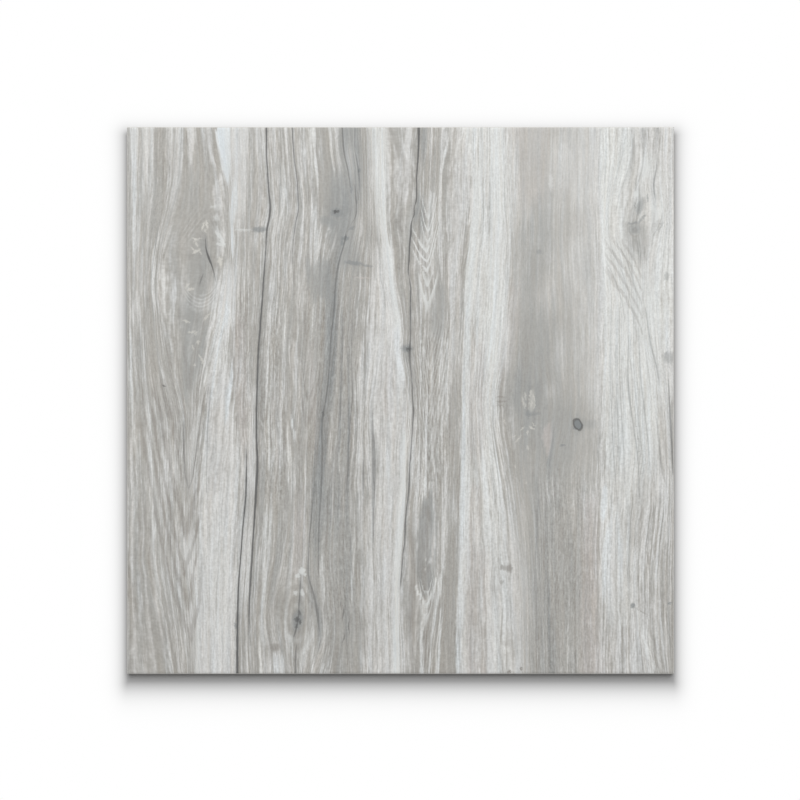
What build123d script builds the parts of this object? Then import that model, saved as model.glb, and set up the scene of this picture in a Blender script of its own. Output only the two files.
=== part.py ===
"""Square wood-look porcelain floor tile, in millimetres.

The tile is one fired piece: dust-pressed, printed, fired and then ground to size. It lies flat with
its decorated face up. +Z is up, the printed grain runs along Y, and the origin is the middle of the
bedding plane, where the ribs of the pressed back meet the floor.
"""

import math
import os

from build123d import *

# Driving dimensions: the tile
TILE_WIDTH = 600.0  # X, across the printed grain
TILE_LENGTH = 600.0  # Y, along the printed grain
THICKNESS = 10.0  # bedding plane to decorated face
FACE_BEVEL = 0.6  # fine arris ground all round the decorated face
BACK_BEVEL = 0.4  # smaller arris ground all round the back

# Driving dimensions: the key, a waffle of shallow pockets that the press leaves in the back for adhesive
KEY_PITCH = 28.0  # from one pocket to the next, both ways
RIB_WIDTH = 4.0  # flat land between two pockets, at the bedding plane
KEY_DEPTH = 0.7  # pocket floor above the bedding plane
KEY_DRAFT = 30.0  # degrees from upright, so that the pressed tile leaves its punch
KEY_MARGIN = 16.0  # least plain band between the outer pockets and the tile's edge


def pocket_count(side: float) -> int:
    """Pockets that fit along a side: an even number, so that two ribs cross at the tile's middle."""
    room = side - 2 * KEY_MARGIN + RIB_WIDTH
    return 2 * math.floor(room / KEY_PITCH / 2)


def ground_blank() -> Part:
    """The plain slab, ground square to its finished size, with a fine arris on each face's edges."""
    upright = (Align.CENTER, Align.CENTER, Align.MIN)
    blank = Box(TILE_WIDTH, TILE_LENGTH, THICKNESS, align=upright)
    blank = chamfer(blank.faces().sort_by(Axis.Z)[-1].edges(), FACE_BEVEL)
    return chamfer(blank.faces().sort_by(Axis.Z)[0].edges(), BACK_BEVEL)


def key_pocket() -> Part:
    """One pocket of the key: a square mouth on the bedding plane, walls leaning in to a smaller floor."""
    mouth = KEY_PITCH - RIB_WIDTH
    return extrude(Rectangle(mouth, mouth), amount=KEY_DEPTH, taper=KEY_DRAFT)


def tile() -> Part:
    """The whole tile: the ground slab less the grid of key pockets."""
    columns = pocket_count(TILE_WIDTH)
    rows = pocket_count(TILE_LENGTH)
    pocket = key_pocket()
    pockets = [place * pocket for place in GridLocations(KEY_PITCH, KEY_PITCH, columns, rows)]
    return ground_blank() - pockets


os.makedirs("parts", exist_ok=True)
export_step(tile(), "parts/tile.step")
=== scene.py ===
"""Wood-look porcelain tile: the printed face, the ground edges and the pressed back, in a white studio.

The print is drawn the way a decor artist would draw it, stroke by stroke, in tile millimetres: x runs
across the grain and y along it, both from the middle of the tile, and points go from the top down.
"""

import logging
import math
from dataclasses import dataclass
from enum import Enum

import bpy
import numpy as np
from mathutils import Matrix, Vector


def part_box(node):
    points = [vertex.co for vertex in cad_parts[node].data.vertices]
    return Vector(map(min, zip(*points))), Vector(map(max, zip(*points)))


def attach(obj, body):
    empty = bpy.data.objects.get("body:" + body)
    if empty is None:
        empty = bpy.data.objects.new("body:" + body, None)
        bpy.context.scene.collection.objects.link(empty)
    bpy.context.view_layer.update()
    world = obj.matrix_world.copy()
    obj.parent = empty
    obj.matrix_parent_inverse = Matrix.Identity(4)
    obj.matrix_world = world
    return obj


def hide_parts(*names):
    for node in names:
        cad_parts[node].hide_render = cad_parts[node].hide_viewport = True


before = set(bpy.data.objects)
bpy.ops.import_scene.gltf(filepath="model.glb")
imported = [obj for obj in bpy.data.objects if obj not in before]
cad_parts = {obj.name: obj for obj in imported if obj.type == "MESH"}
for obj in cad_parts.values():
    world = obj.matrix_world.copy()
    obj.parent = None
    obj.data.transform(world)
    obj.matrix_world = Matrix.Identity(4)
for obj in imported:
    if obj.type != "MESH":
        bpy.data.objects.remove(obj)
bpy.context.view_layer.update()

LOG = logging.getLogger("tile")
MM = 0.001

# How fast a thin line narrows past its ends, in millimetres of half width per millimetre
LINE_END_SLOPE = 0.25

# How far left of the middle, and how far below and above it, the fibres' noise reaches, in millimetres
NOISE_LEFT = 400
NOISE_FOOT = 450

WHITE = (1, 1, 1, 1)

Array = np.ndarray
Points = tuple[tuple[float, ...], ...]
Pair = tuple[float, float]
Triple = tuple[float, float, float]


class Tone(Enum):
    """Inks and grounds of the print, as the display values that each one shows."""

    CHALK = (212, 217, 219)
    LIME = (214, 216, 214)
    PALE = (206, 206, 204)
    ROSE = (190, 184, 180)
    GREIGE = (184, 183, 179)
    TAUPE = (166, 164, 159)
    SMOKE = (146, 148, 147)
    SLATE = (130, 134, 135)
    BARK = (134, 129, 123)
    CHARCOAL = (84, 84, 83)
    CREAM = (210, 208, 201)

    @property
    def linear(self) -> Array:
        """The tone as linear light, from 0 to 1."""
        return display_to_linear(self.value)

    @property
    def limed(self) -> bool:
        """Whether the tone is lime that lies in the fibres, rather than stained wood."""
        return self in (Tone.CHALK, Tone.LIME, Tone.PALE, Tone.CREAM)


def display_to_linear(colour: Triple) -> Array:
    """Undo the display curve of a colour.

    Args:
        colour: Red, green and blue display values, from 0 to 255.

    Returns:
        The same colour as linear light: the 2.4 power above a short straight toe.
    """
    share = np.array(colour, float) / 255
    return np.where(share > 0.04045, ((share + 0.055) / 1.055) ** 2.4, share / 12.92)


def opaque(colour: Triple) -> tuple[float, ...]:
    """Undo the display curve of a colour and add 1 for opaque."""
    return (*display_to_linear(colour), 1)


def smoothstep(low: float, high: float, value: Array) -> Array:
    """Ease from 0 at low to 1 at high.

    Args:
        low: Value where the result leaves 0; it may lie above high for a falling step.
        high: Value where the result reaches 1.
        value: Values to ease.

    Returns:
        3t squared less 2t cubed, where t runs from 0 to 1 between low and high.
    """
    share = np.clip((value - low) / (high - low), 0, 1)
    return share * share * (3 - 2 * share)


def smooth_curve(places: Array, knots: Array, values: Array) -> Array:
    """Read a smooth curve through a few knots.

    Args:
        places: Where to read the curve.
        knots: Rising places of the knots.
        values: Value at each knot.

    Returns:
        A cubic Hermite curve through the values, each tangent from its neighbours, held past the ends.
    """
    slopes = np.gradient(values, knots)
    span = np.clip(np.searchsorted(knots, places) - 1, 0, len(knots) - 2)
    length = knots[span + 1] - knots[span]
    share = np.clip((places - knots[span]) / length, 0, 1)
    rest = 1 - share
    start = values[span] * (1 + 2 * share) + slopes[span] * length * share
    end = values[span + 1] * (1 + 2 * rest) - slopes[span + 1] * length * rest
    return start * rest * rest + end * share * share


def fibre_noise(across: Array, along: Array, width: float, length: float, seed: int) -> Array:
    """Draw noise that runs along the fibres.

    Args:
        across: Grain coordinate across, in millimetres.
        along: Place along the grain, in millimetres.
        width: Width of a cell of the noise.
        length: Length of a cell of the noise.
        seed: Seed of the draw.

    Returns:
        Values from -1 to 1: random values at the corners of long cells, eased between them both ways. Each
        column of cells starts at its own place along the grain, so that no row of corners lines up.
    """
    random = np.random.default_rng(seed)
    u = (across + NOISE_LEFT) / width
    left = u.astype(int)
    blend_u = smoothstep(0, 1, u - left)
    draw = random.uniform(-1, 1, (int(np.max(left)) + 2, int(2 * NOISE_FOOT / length) + 4))
    start = random.uniform(0, 1, len(draw))
    total = 0
    for side, weight in ((left, 1 - blend_u), (left + 1, blend_u)):
        v = (along + NOISE_FOOT) / length + start[side]
        low = v.astype(int)
        blend_v = smoothstep(0, 1, v - low)
        total = total + weight * (draw[side, low] * (1 - blend_v) + draw[side, low + 1] * blend_v)
    return total


@dataclass(frozen=True)
class FaceGrid:
    """Where the points of the decorated face lie, in millimetres, one row of arrays per place along y.

    Args:
        x: Place across the tile.
        y: Place along the tile.
        across: Grain coordinate across: the x that the fibre would have if the grain were straight.
        ragged_x: x as the ink sees it, each fibre a little off its place.
        ragged_y: y as the ink sees it, so that strokes end fibre by fibre.
    """

    x: Array
    y: Array
    across: Array
    ragged_x: Array
    ragged_y: Array


@dataclass(frozen=True)
class Stroke:
    """A band of one tone along the grain, soft at its edges and fading past its ends.

    Args:
        tone: Tone of the ink.
        points: x, y and width of the band, from the top down.
        soft: Width of the soft edge, or of the left and the right one.
        strength: Share of the tone at the middle of the band.
        fibre: Contrast of the fine fibres under the band, if it changes them.
        fade: Length over which the band fades past its ends.
    """

    tone: Tone
    points: Points
    soft: float | Pair = 3.0
    strength: float = 0.7
    fibre: float | None = None
    fade: float = 14.0

    def coverage(self, grid: FaceGrid) -> Array:
        """Share of the ink at each point of the face.

        Args:
            grid: Points of the face.

        Returns:
            The strength inside the half width, eased to 0 across the soft edge and along the fade.
        """
        middle_x, along, width = np.array(self.points[::-1], float).T
        middle = smooth_curve(grid.ragged_y, along, middle_x)
        half = np.maximum(smooth_curve(grid.ragged_y, along, width), 0) / 2
        left, right = self.soft if isinstance(self.soft, tuple) else (self.soft, self.soft)
        aside = grid.ragged_x - middle
        outside = (np.abs(aside) - half) / np.where(aside < 0, left, right)
        ends = smoothstep(along[0] - self.fade, along[0], grid.ragged_y)
        ends *= smoothstep(along[-1] + self.fade, along[-1], grid.ragged_y)
        return self.strength * ends * smoothstep(0.5, -0.5, outside)


@dataclass(frozen=True)
class Spot:
    """A rounded patch of one tone, such as a knot's eye, a fleck or a smudge.

    Args:
        tone: Tone of the ink.
        place: x and y of the middle.
        size: Half width and half length.
        lean: How far the patch leans in x for each millimetre of y.
        soft: Share of the size over which the patch fades, from 0 to 1.
        strength: Share of the tone at the middle.
        fibre: Contrast of the fine fibres under the patch, if it changes them.
        climb: How far the patch climbs in y for each millimetre of x.
    """

    tone: Tone
    place: Pair
    size: Pair
    lean: float = 0.0
    soft: float = 0.7
    strength: float = 0.7
    fibre: float | None = None
    climb: float = 0.0

    def coverage(self, grid: FaceGrid) -> Array:
        """Share of the ink at each point of the face.

        Args:
            grid: Points of the face.

        Returns:
            The strength inside the leaning ellipse, eased to 0 across its soft rim.
        """
        aside = grid.x - self.place[0]
        up = grid.y - self.place[1] - self.climb * aside
        aside = aside - self.lean * up
        radius = np.hypot(aside / self.size[0], up / self.size[1])
        return self.strength * smoothstep(1 + self.soft / 2, 1 - self.soft, radius)


@dataclass(frozen=True)
class Fleck:
    """A small, frayed patch of one tone, which the finish draws so that it stays crisp at any size.

    Args:
        tone: Tone of the ink.
        place: x and y of the middle.
        size: Half width and half length.
        turn: Turn anticlockwise, in degrees.
        strength: Share of the tone at the middle.
        soft: Share of the size over which the patch fades, from 0 to 1.
    """

    tone: Tone
    place: Pair
    size: Pair
    turn: float = 0.0
    strength: float = 0.7
    soft: float = 0.6

    def weights(self, shift: float) -> tuple[Triple, Triple]:
        """Weights of x, y and 1 in the place across the fleck and in the place along it.

        Args:
            shift: How far x and y have been moved up.

        Returns:
            The rows of the turn, each divided by its half size, with the middle's own place taken off.
        """
        turn = math.radians(self.turn)
        across = np.array([math.cos(turn), math.sin(turn)]) / self.size[0]
        along = np.array([-math.sin(turn), math.cos(turn)]) / self.size[1]
        middle = np.array(self.place) + shift
        return (*across, -across @ middle), (*along, -along @ middle)


@dataclass(frozen=True)
class Arches:
    """Nested growth rings that cross an axis in a V or a U, with arms along the grain.

    Args:
        axis: x and y of the axis, from the top down.
        tips: y of each ring where it crosses the axis, from the top down.
        reach: Half width of the figure to the left and to the right of the axis.
        rise: How far along y an arm runs while it crosses that half width, or the left and the right one;
            negative arms run down.
        power: Shape of the arms: 1 is a V, 2 is a U.
        light: Share of lime on each ring.
        dark: Share of stain between two rings.
        top: y above which the arms fade.
    """

    axis: Points
    tips: tuple[float, ...]
    reach: Pair
    rise: float | Pair
    power: float = 1.4
    light: float = 0.5
    dark: float = 0.3
    top: float = 300.0

    def rings(self, grid: FaceGrid) -> tuple[Array, Array]:
        """Find the growth ring of each point of the face.

        Args:
            grid: Points of the face.

        Returns:
            Number of the ring, whole on its line, and how clearly the figure shows. A ring is where y less
            the arm's rise, the rise times the power of the share of the reach, equals its tip.
        """
        axis_x, axis_y = np.array(self.axis[::-1], float).T
        aside = grid.x - smooth_curve(grid.y, axis_y, axis_x)
        share = np.abs(aside) / np.where(aside < 0, self.reach[0], self.reach[1])
        left, right = self.rise if isinstance(self.rise, tuple) else (self.rise, self.rise)
        level = grid.y - np.where(aside < 0, left, right) * share**self.power
        tips = np.array(self.tips[::-1], float)
        margin = np.diff(tips).mean()
        number = np.interp(level, tips, np.arange(len(tips)))
        shown = smoothstep(1.2, 0.8, share) * smoothstep(self.top + 25, self.top - 15, grid.y)
        shown *= smoothstep(tips[0] - 0.6 * margin, tips[0], level)
        return number, shown * smoothstep(tips[-1] + 0.6 * margin, tips[-1], level)


@dataclass(frozen=True)
class Eye:
    """Nested growth rings round a knot.

    Args:
        place: x and y of the knot's middle.
        size: Half width and half length of the outermost ring.
        count: Number of rings.
        lean: How far the rings lean in x for each millimetre of y.
        light: Share of lime on each ring.
        dark: Share of stain between two rings.
    """

    place: Pair
    size: Pair
    count: int
    lean: float = 0.0
    light: float = 0.4
    dark: float = 0.3

    def rings(self, grid: FaceGrid) -> tuple[Array, Array]:
        """Find the growth ring of each point of the face.

        Args:
            grid: Points of the face.

        Returns:
            Number of the ring, whole on its line, which is the leaning ellipse's radius times the count,
            and how clearly the figure shows.
        """
        up = grid.y - self.place[1]
        aside = grid.x - self.place[0] - self.lean * up
        radius = np.hypot(aside / self.size[0], up / self.size[1])
        return radius * self.count, smoothstep(1.05, 0.75, radius)


@dataclass(frozen=True)
class Line:
    """A thin, crisp line, kept as the way across it so that it stays sharp at any size.

    Args:
        points: x, y and width of the line, from the top down.
        strength: How dark or how white the line is.
        deep: Share of the full groove that is pressed along the line.
    """

    points: Points
    strength: float = 0.8
    deep: float = 0.0

    def place(self, grid: FaceGrid) -> tuple[Array, Array]:
        """Place of each point of the face beside the line, in millimetres.

        Args:
            grid: Points of the face.

        Returns:
            How far x is right of the line's middle, and the line's half width, less a share of how far y is
            past its ends.
        """
        middle_x, along, width = np.array(self.points[::-1], float).T
        middle = smooth_curve(grid.y, along, middle_x)
        half = np.maximum(smooth_curve(grid.y, along, width), 0) / 2
        past = np.maximum(along[0] - grid.y, 0) + np.maximum(grid.y - along[-1], 0)
        return grid.x - middle, half - LINE_END_SLOPE * past


# The tones by their own names, for the tables below
CHALK, LIME, PALE, ROSE, GREIGE, TAUPE, SMOKE, SLATE, BARK, CHARCOAL, CREAM = Tone

# Grain guides: the x that a fibre has on straight grain, and the way it really runs, from the top down
GUIDES: tuple[tuple[float, Points], ...] = (
    (-300, ((-300, 300), (-300, -300))),
    (-280, ((-281, 300), (-280, 230), (-284, 160), (-285, 110), (-283, 60), (-279, 10), (-276, -20),
        (-274, -60), (-273, -100), (-271, -140), (-270, -180), (-265, -210), (-260, -240), (-254, -270),
        (-250, -300))),
    (-247, ((-240, 300), (-242, 260), (-248, 215), (-257, 180), (-263, 150), (-265, 125), (-262, 100),
        (-258, 60), (-252, 30), (-246, 10), (-241, -10), (-239, -30), (-238, -60), (-237, -90),
        (-237, -140), (-236, -190), (-233, -222), (-230, -260), (-228, -300))),
    (-230, ((-222, 300), (-220, 260), (-218, 200), (-215, 170), (-217, 130), (-223, 100), (-229, 50),
        (-232, 10), (-232, -30), (-232.5, -90), (-233, -140), (-232, -190), (-229, -222), (-226, -260),
        (-224, -300))),
    (-213, ((-204, 300), (-199, 270), (-193, 245), (-190, 225), (-189, 195), (-191, 165), (-194, 130),
        (-199, 95), (-207, 60), (-213, 30), (-218, 0), (-222, -30), (-226, -70), (-228, -100),
        (-228.5, -140), (-227, -190), (-224.5, -222), (-222, -260), (-220, -300))),
    (-192, ((-184, 300), (-183, 240), (-184, 180), (-185, 120), (-187, 60), (-191, 0), (-195, -60),
        (-198, -120), (-200, -200), (-201, -300))),
    (-171, ((-165, 300), (-165, 200), (-166, 100), (-168, 0), (-169, -80), (-171, -120), (-174.5, -160),
        (-177.5, -200), (-179, -260), (-179, -300))),
    (-154, ((-147, 300), (-145.5, 245), (-143, 212), (-146.5, 188), (-148.5, 155), (-152.5, 100),
        (-156, 50), (-158, -10), (-157.5, -70), (-160, -125), (-163, -175), (-166, -230), (-166, -300))),
    (-121, ((-118.5, 300), (-116.5, 265), (-112.5, 225), (-112, 210), (-117, 180), (-120, 120), (-123, 50),
        (-122, -20), (-123, -100), (-125, -160), (-131, -195), (-136, -225), (-136, -250), (-131, -275),
        (-128, -300))),
    (-106, ((-100, 300), (-98, 205), (-99, 150), (-102, 60), (-105, 0), (-109, -100), (-110, -190),
        (-112, -240), (-115, -270), (-115, -300))),
    (-78, ((-64, 300), (-62, 272), (-57, 248), (-54.5, 225), (-56, 195), (-61, 175), (-66, 158), (-71, 130),
        (-73, 100), (-78, 40), (-83, -5), (-86, -60), (-88, -120), (-90, -170), (-88, -205), (-86, -240),
        (-88, -265), (-97, -300))),
    (-52, ((-42, 300), (-40, 230), (-41, 190), (-46, 150), (-52, 100), (-54, 40), (-54, 0), (-57, -50),
        (-60, -100), (-60, -180), (-58, -250), (-57, -300))),
    (-28, ((-28, 300), (-27, 200), (-25, 150), (-22, 100), (-25, 50), (-30, 0), (-29.5, -60), (-30, -155),
        (-29, -300))),
    (-5, ((-17, 300), (-15.5, 220), (-15, 200), (-10, 165), (-6, 135), (0, 100), (2, 80), (1, 50), (4, 30),
        (6, 0), (5, -30), (3, -60), (1, -100), (-2, -150), (-5, -200), (-5, -300))),
    (10, ((20, 300), (18, 250), (16, 212), (12, 195), (10, 170), (8.5, 140), (11, 115), (11, 80), (10, 55),
        (12, 30), (13.5, 0), (14, -12), (12.5, -40), (10, -75), (9, -100), (5, -140), (2.5, -170),
        (0, -200), (-0.5, -235), (2, -275), (2, -300))),
    (28, ((33, 300), (31, 250), (29, 200), (29, 50), (27, 0), (27, -80), (26, -160), (29, -228), (26, -260),
        (24, -300))),
    (43, ((47, 300), (44, 250), (43, 210), (44, 150), (46, 100), (43, 0), (42, -50), (43, -100), (42, -160),
        (41, -240), (37, -270), (35, -300))),
    (67, ((80, 300), (78, 240), (77, 200), (75, 175), (70, 140), (68, 100), (65.5, 0), (66, -40),
        (64, -100), (61, -200), (60, -300))),
    (116, ((118, 300), (117, 100), (110, 40), (106, 5), (108, -30), (115, -70), (121, -110), (127, -160),
        (131, -220), (133, -300))),
    (165, ((165, 300), (163, 100), (166, 40), (170, 0), (166, -40), (161, -80), (163, -120), (163, -200),
        (164, -300))),
    (222, ((222, 300), (222, 200), (224, 150), (226, 130), (225, 50), (223, 0), (221, -100), (219, -300))),
    (243, ((243, 300), (240, 260), (234, 225), (231, 200), (232, 178), (237, 160), (241, 142), (244, 122),
        (245, 95), (247, 50), (250, 0), (252, -50), (250, -100), (246, -150), (245, -200), (246, -300))),
    (262, ((264, 300), (264, 260), (261, 240), (261, 215), (258, 190), (260, 165), (261, 140), (262, 100),
        (266, 50), (270, 0), (272, -50), (270, -100), (266, -150), (264, -200), (265, -260), (269, -300))),
    (281, ((284, 300), (281, 260), (281, 240), (284, 215), (286, 195), (283, 180), (279, 160), (277, 130),
        (278, 90), (283, 40), (288, -20), (290, -60), (291, -90), (287, -150), (283, -200), (284, -250),
        (291, -300))),
    (300, ((300, 300), (300, -300))),
)

# Strokes of each board as rows: tone, points, soft edge, strength, fibre contrast and fade; and spots
Rows = tuple[tuple | Spot, ...]

# Left board: pale streaks, the large knot with its halo, the V figure under it and the limed bands
LEFT_BOARD: Rows = (
    (PALE, ((-288, 300, 34), (-288, 200, 30), (-288, 120, 26)), 12, 0.35, 0.8),
    (TAUPE, ((-262, 300, 18), (-262, 270, 22), (-264, 245, 16), (-269, 215, 10), (-275, 185, 6)), 8, 0.6),
    (TAUPE, ((-222, 290, 12), (-221, 262, 24), (-225, 230, 40), (-227, 200, 46), (-224, 170, 44),
        (-221, 140, 42), (-222, 115, 38), (-225, 95, 34)), 18, 0.75, 0.7),
    (SMOKE, ((-217, 175, 12), (-217, 150, 24), (-216, 135, 24), (-217, 118, 16)), 12, 0.45),
    (SMOKE, ((-228, 106, 22), (-227, 80, 30), (-229, 55, 28), (-233, 30, 20), (-236, 5, 10)), 9, 0.55,
        0.6),
    (PALE, ((-172, 300, 40), (-172, 240, 38), (-172, 200, 36), (-172, 120, 34)), 10, 0.1, 0.8),
    (PALE, ((-179, 300, 20), (-178, 260, 18), (-178, 220, 14), (-178, 195, 8)), 7, 0.8),
    (PALE, ((-190, 145, 6), (-191, 120, 16), (-192, 100, 20), (-194, 85, 20)), 9, 0.65),
    (PALE, ((-198, 265, 3), (-194, 240, 5), (-191, 220, 5)), 4, 0.5),
    (PALE, ((-197, 10, 16), (-199, -20, 28), (-200, -60, 34), (-200, -100, 38), (-200, -160, 38),
        (-201, -220, 38), (-201, -300, 40)), 9, 0.75, None, 50),
    (TAUPE, ((-170, 110, 14), (-172, 60, 22), (-173, 0, 22), (-174, -40, 12)), 10, 0.3, 1.3, 30),
    (TAUPE, ((-284, 110, 34), (-283, 0, 34), (-280, -100, 36), (-278, -200, 40), (-276, -300, 48)), 20,
        0.25, 0.9),
    (TAUPE, ((-288, -120, 20), (-286, -200, 34), (-280, -300, 44)), 16, 0.35),
    (PALE, ((-296, -60, 2), (-296, -140, 2.5), (-294, -220, 2), (-291, -300, 2)), 2, 0.45),
    (PALE, ((-290, -90, 2), (-289, -160, 2.5), (-286, -230, 2.5), (-280, -300, 2)), 2, 0.45),
    (PALE, ((-283, -110, 1.5), (-282, -170, 2), (-277, -230, 2), (-269, -300, 2)), 2, 0.4),
    (CHALK, ((-292, 300, 7), (-292, 260, 6), (-292, 220, 4), (-293, 170, 3)), 3, 0.5),
    (TAUPE, ((-298, 300, 3), (-298, 230, 3), (-297, 180, 4), (-296, 130, 5)), 3, 0.5),
    (LIME, ((-281, 300, 6), (-281, 270, 4), (-283, 220, 3), (-285, 180, 3)), 3, 0.4),
    (TAUPE, ((-286, 300, 2), (-285, 260, 2), (-286, 220, 3), (-284, 190, 3)), 2, 0.5),
    (CHALK, ((-273, 300, 3), (-273, 270, 2), (-275, 240, 2), (-278, 200, 2)), 2, 0.5),
    (TAUPE, ((-276, 300, 2), (-275, 250, 3), (-279, 200, 3), (-281, 170, 3), (-279, 130, 3), (-275, 100, 4),
        (-273, 60, 3)), 2.5, 0.6),
    (PALE, ((-246, 300, 12), (-247, 260, 11), (-251, 215, 10), (-258, 185, 10)), 6, 0.3, 0.75),
    (LIME, ((-240, 300, 3), (-241, 260, 3), (-246, 220, 3), (-254, 195, 3), (-262, 165, 3), (-266, 135, 3)),
        4, 0.15),
    (LIME, ((-271, 165, 3), (-272, 145, 3), (-271, 125, 3), (-269, 105, 2)), 2.5, 0.45),
    (LIME, ((-259, 150, 3), (-261, 130, 6), (-260, 110, 5), (-260, 70, 4), (-261, 35, 3)), 4, 0.4),
    (PALE, ((-231, 300, 10), (-229, 285, 8), (-231, 265, 4)), 4, 0.6),
    (PALE, ((-211, 300, 10), (-210, 285, 8), (-207, 262, 4)), 4, 0.5),
    (CHALK, ((-195.5, 300, 17), (-193.5, 275, 13), (-191, 250, 8), (-189.5, 236, 2)), (1.5, 3), 0.9, 0.6,
        4),
    (CHALK, ((-182, 242, 1), (-182, 225, 5), (-184, 206, 8), (-185, 190, 4), (-184, 170, 3),
        (-184, 158, 1)), 2, 0.9, None, 5),
    (PALE, ((-197, 243, 4), (-200, 228, 12), (-197, 210, 14), (-194, 190, 10), (-197, 165, 8)), 5, 0.7),
    (TAUPE, ((-207, 217, 3), (-202, 208, 3), (-196, 200, 2)), 1.5, 0.8, None, 4),
    (LIME, ((-208, 211, 2), (-202, 202, 3), (-195, 193, 2)), 1.5, 0.7, None, 4),
    (TAUPE, ((-208, 206, 3), (-202, 197, 3), (-196, 188, 2)), 1.5, 0.8, None, 4),
    (LIME, ((-208, 201, 2), (-203, 193, 2.5), (-197, 184, 2)), 1.5, 0.6, None, 4),
    (TAUPE, ((-199, 236, 1), (-198, 228, 2), (-195, 220, 1)), 1.5, 0.5, None, 4),
    (TAUPE, ((-204, 232, 1), (-202, 224, 2), (-199, 216, 1)), 1.5, 0.5, None, 4),
    (PALE, ((-193, 98, 12), (-199, 72, 18), (-204, 50, 20), (-207, 25, 18), (-208, 0, 12), (-209, -20, 4)),
        4, 0.6, 1.2),
    (CHALK, ((-190, 98, 5), (-196, 75, 4.5), (-201, 50, 4), (-205, 20, 3), (-207, -5, 1)), 2, 0.75),
    (LIME, ((-198, 90, 3), (-204, 68, 3), (-209, 45, 3.5), (-212, 20, 3), (-214, 0, 1)), 1.5, 0.65),
    (LIME, ((-196, 55, 1), (-199, 40, 3), (-201, 20, 3), (-203, 0, 2)), 1.5, 0.6),
    (TAUPE, ((-200, 80, 1), (-206, 60, 1.5), (-210, 35, 1.5), (-212, 10, 1)), 1.2, 0.6),
    (TAUPE, ((-194, 72, 1), (-199, 52, 1.5), (-203, 28, 1.5), (-205, 5, 1)), 1.2, 0.5),
    (PALE, ((-205, 92, 3), (-212, 70, 3), (-216, 45, 3), (-220, 15, 3)), 2, 0.5),
    (CHALK, ((-185, 46, 1), (-185.5, 30, 4), (-188.5, 10, 6), (-190.5, -10, 4), (-193, -28, 1)), 2, 0.95,
        None, 4),
    (LIME, ((-296, 70, 3), (-296, 30, 4), (-293, -20, 5), (-290, -60, 3), (-288, -110, 3)), 2.5, 0.4),
    (LIME, ((-286, 100, 3), (-285, 80, 3), (-282, 50, 3), (-279, 10, 3), (-276, -20, 4), (-274, -60, 4),
        (-273, -100, 4), (-271, -140, 4), (-270, -180, 4), (-265, -210, 3.5), (-260, -240, 3.5),
        (-254, -270, 3), (-250, -300, 3)), 2.5, 0.38),
    (LIME, ((-253, 100, 4), (-252, 70, 3), (-247, 30, 3), (-242, 5, 3), (-238, -20, 2)), 3, 0.25),
    Spot(BARK, (-236, -143), (4, 5), 0.0, 0.9, 0.35),
    Spot(BARK, (-236, -190), (4, 5), 0.0, 0.9, 0.35),
    Spot(BARK, (-252, -58), (2, 7), 0.0, 0.9, 0.35),
    (LIME, ((-214, -60, 5), (-217, -120, 4), (-221, -180, 4), (-222, -240, 4), (-223, -300, 4)), 2.5, 0.5),
    (ROSE, ((-178, 90, 10), (-176, 40, 14), (-174, 0, 14), (-172, -40, 8)), 8, 0.5),
)

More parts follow.
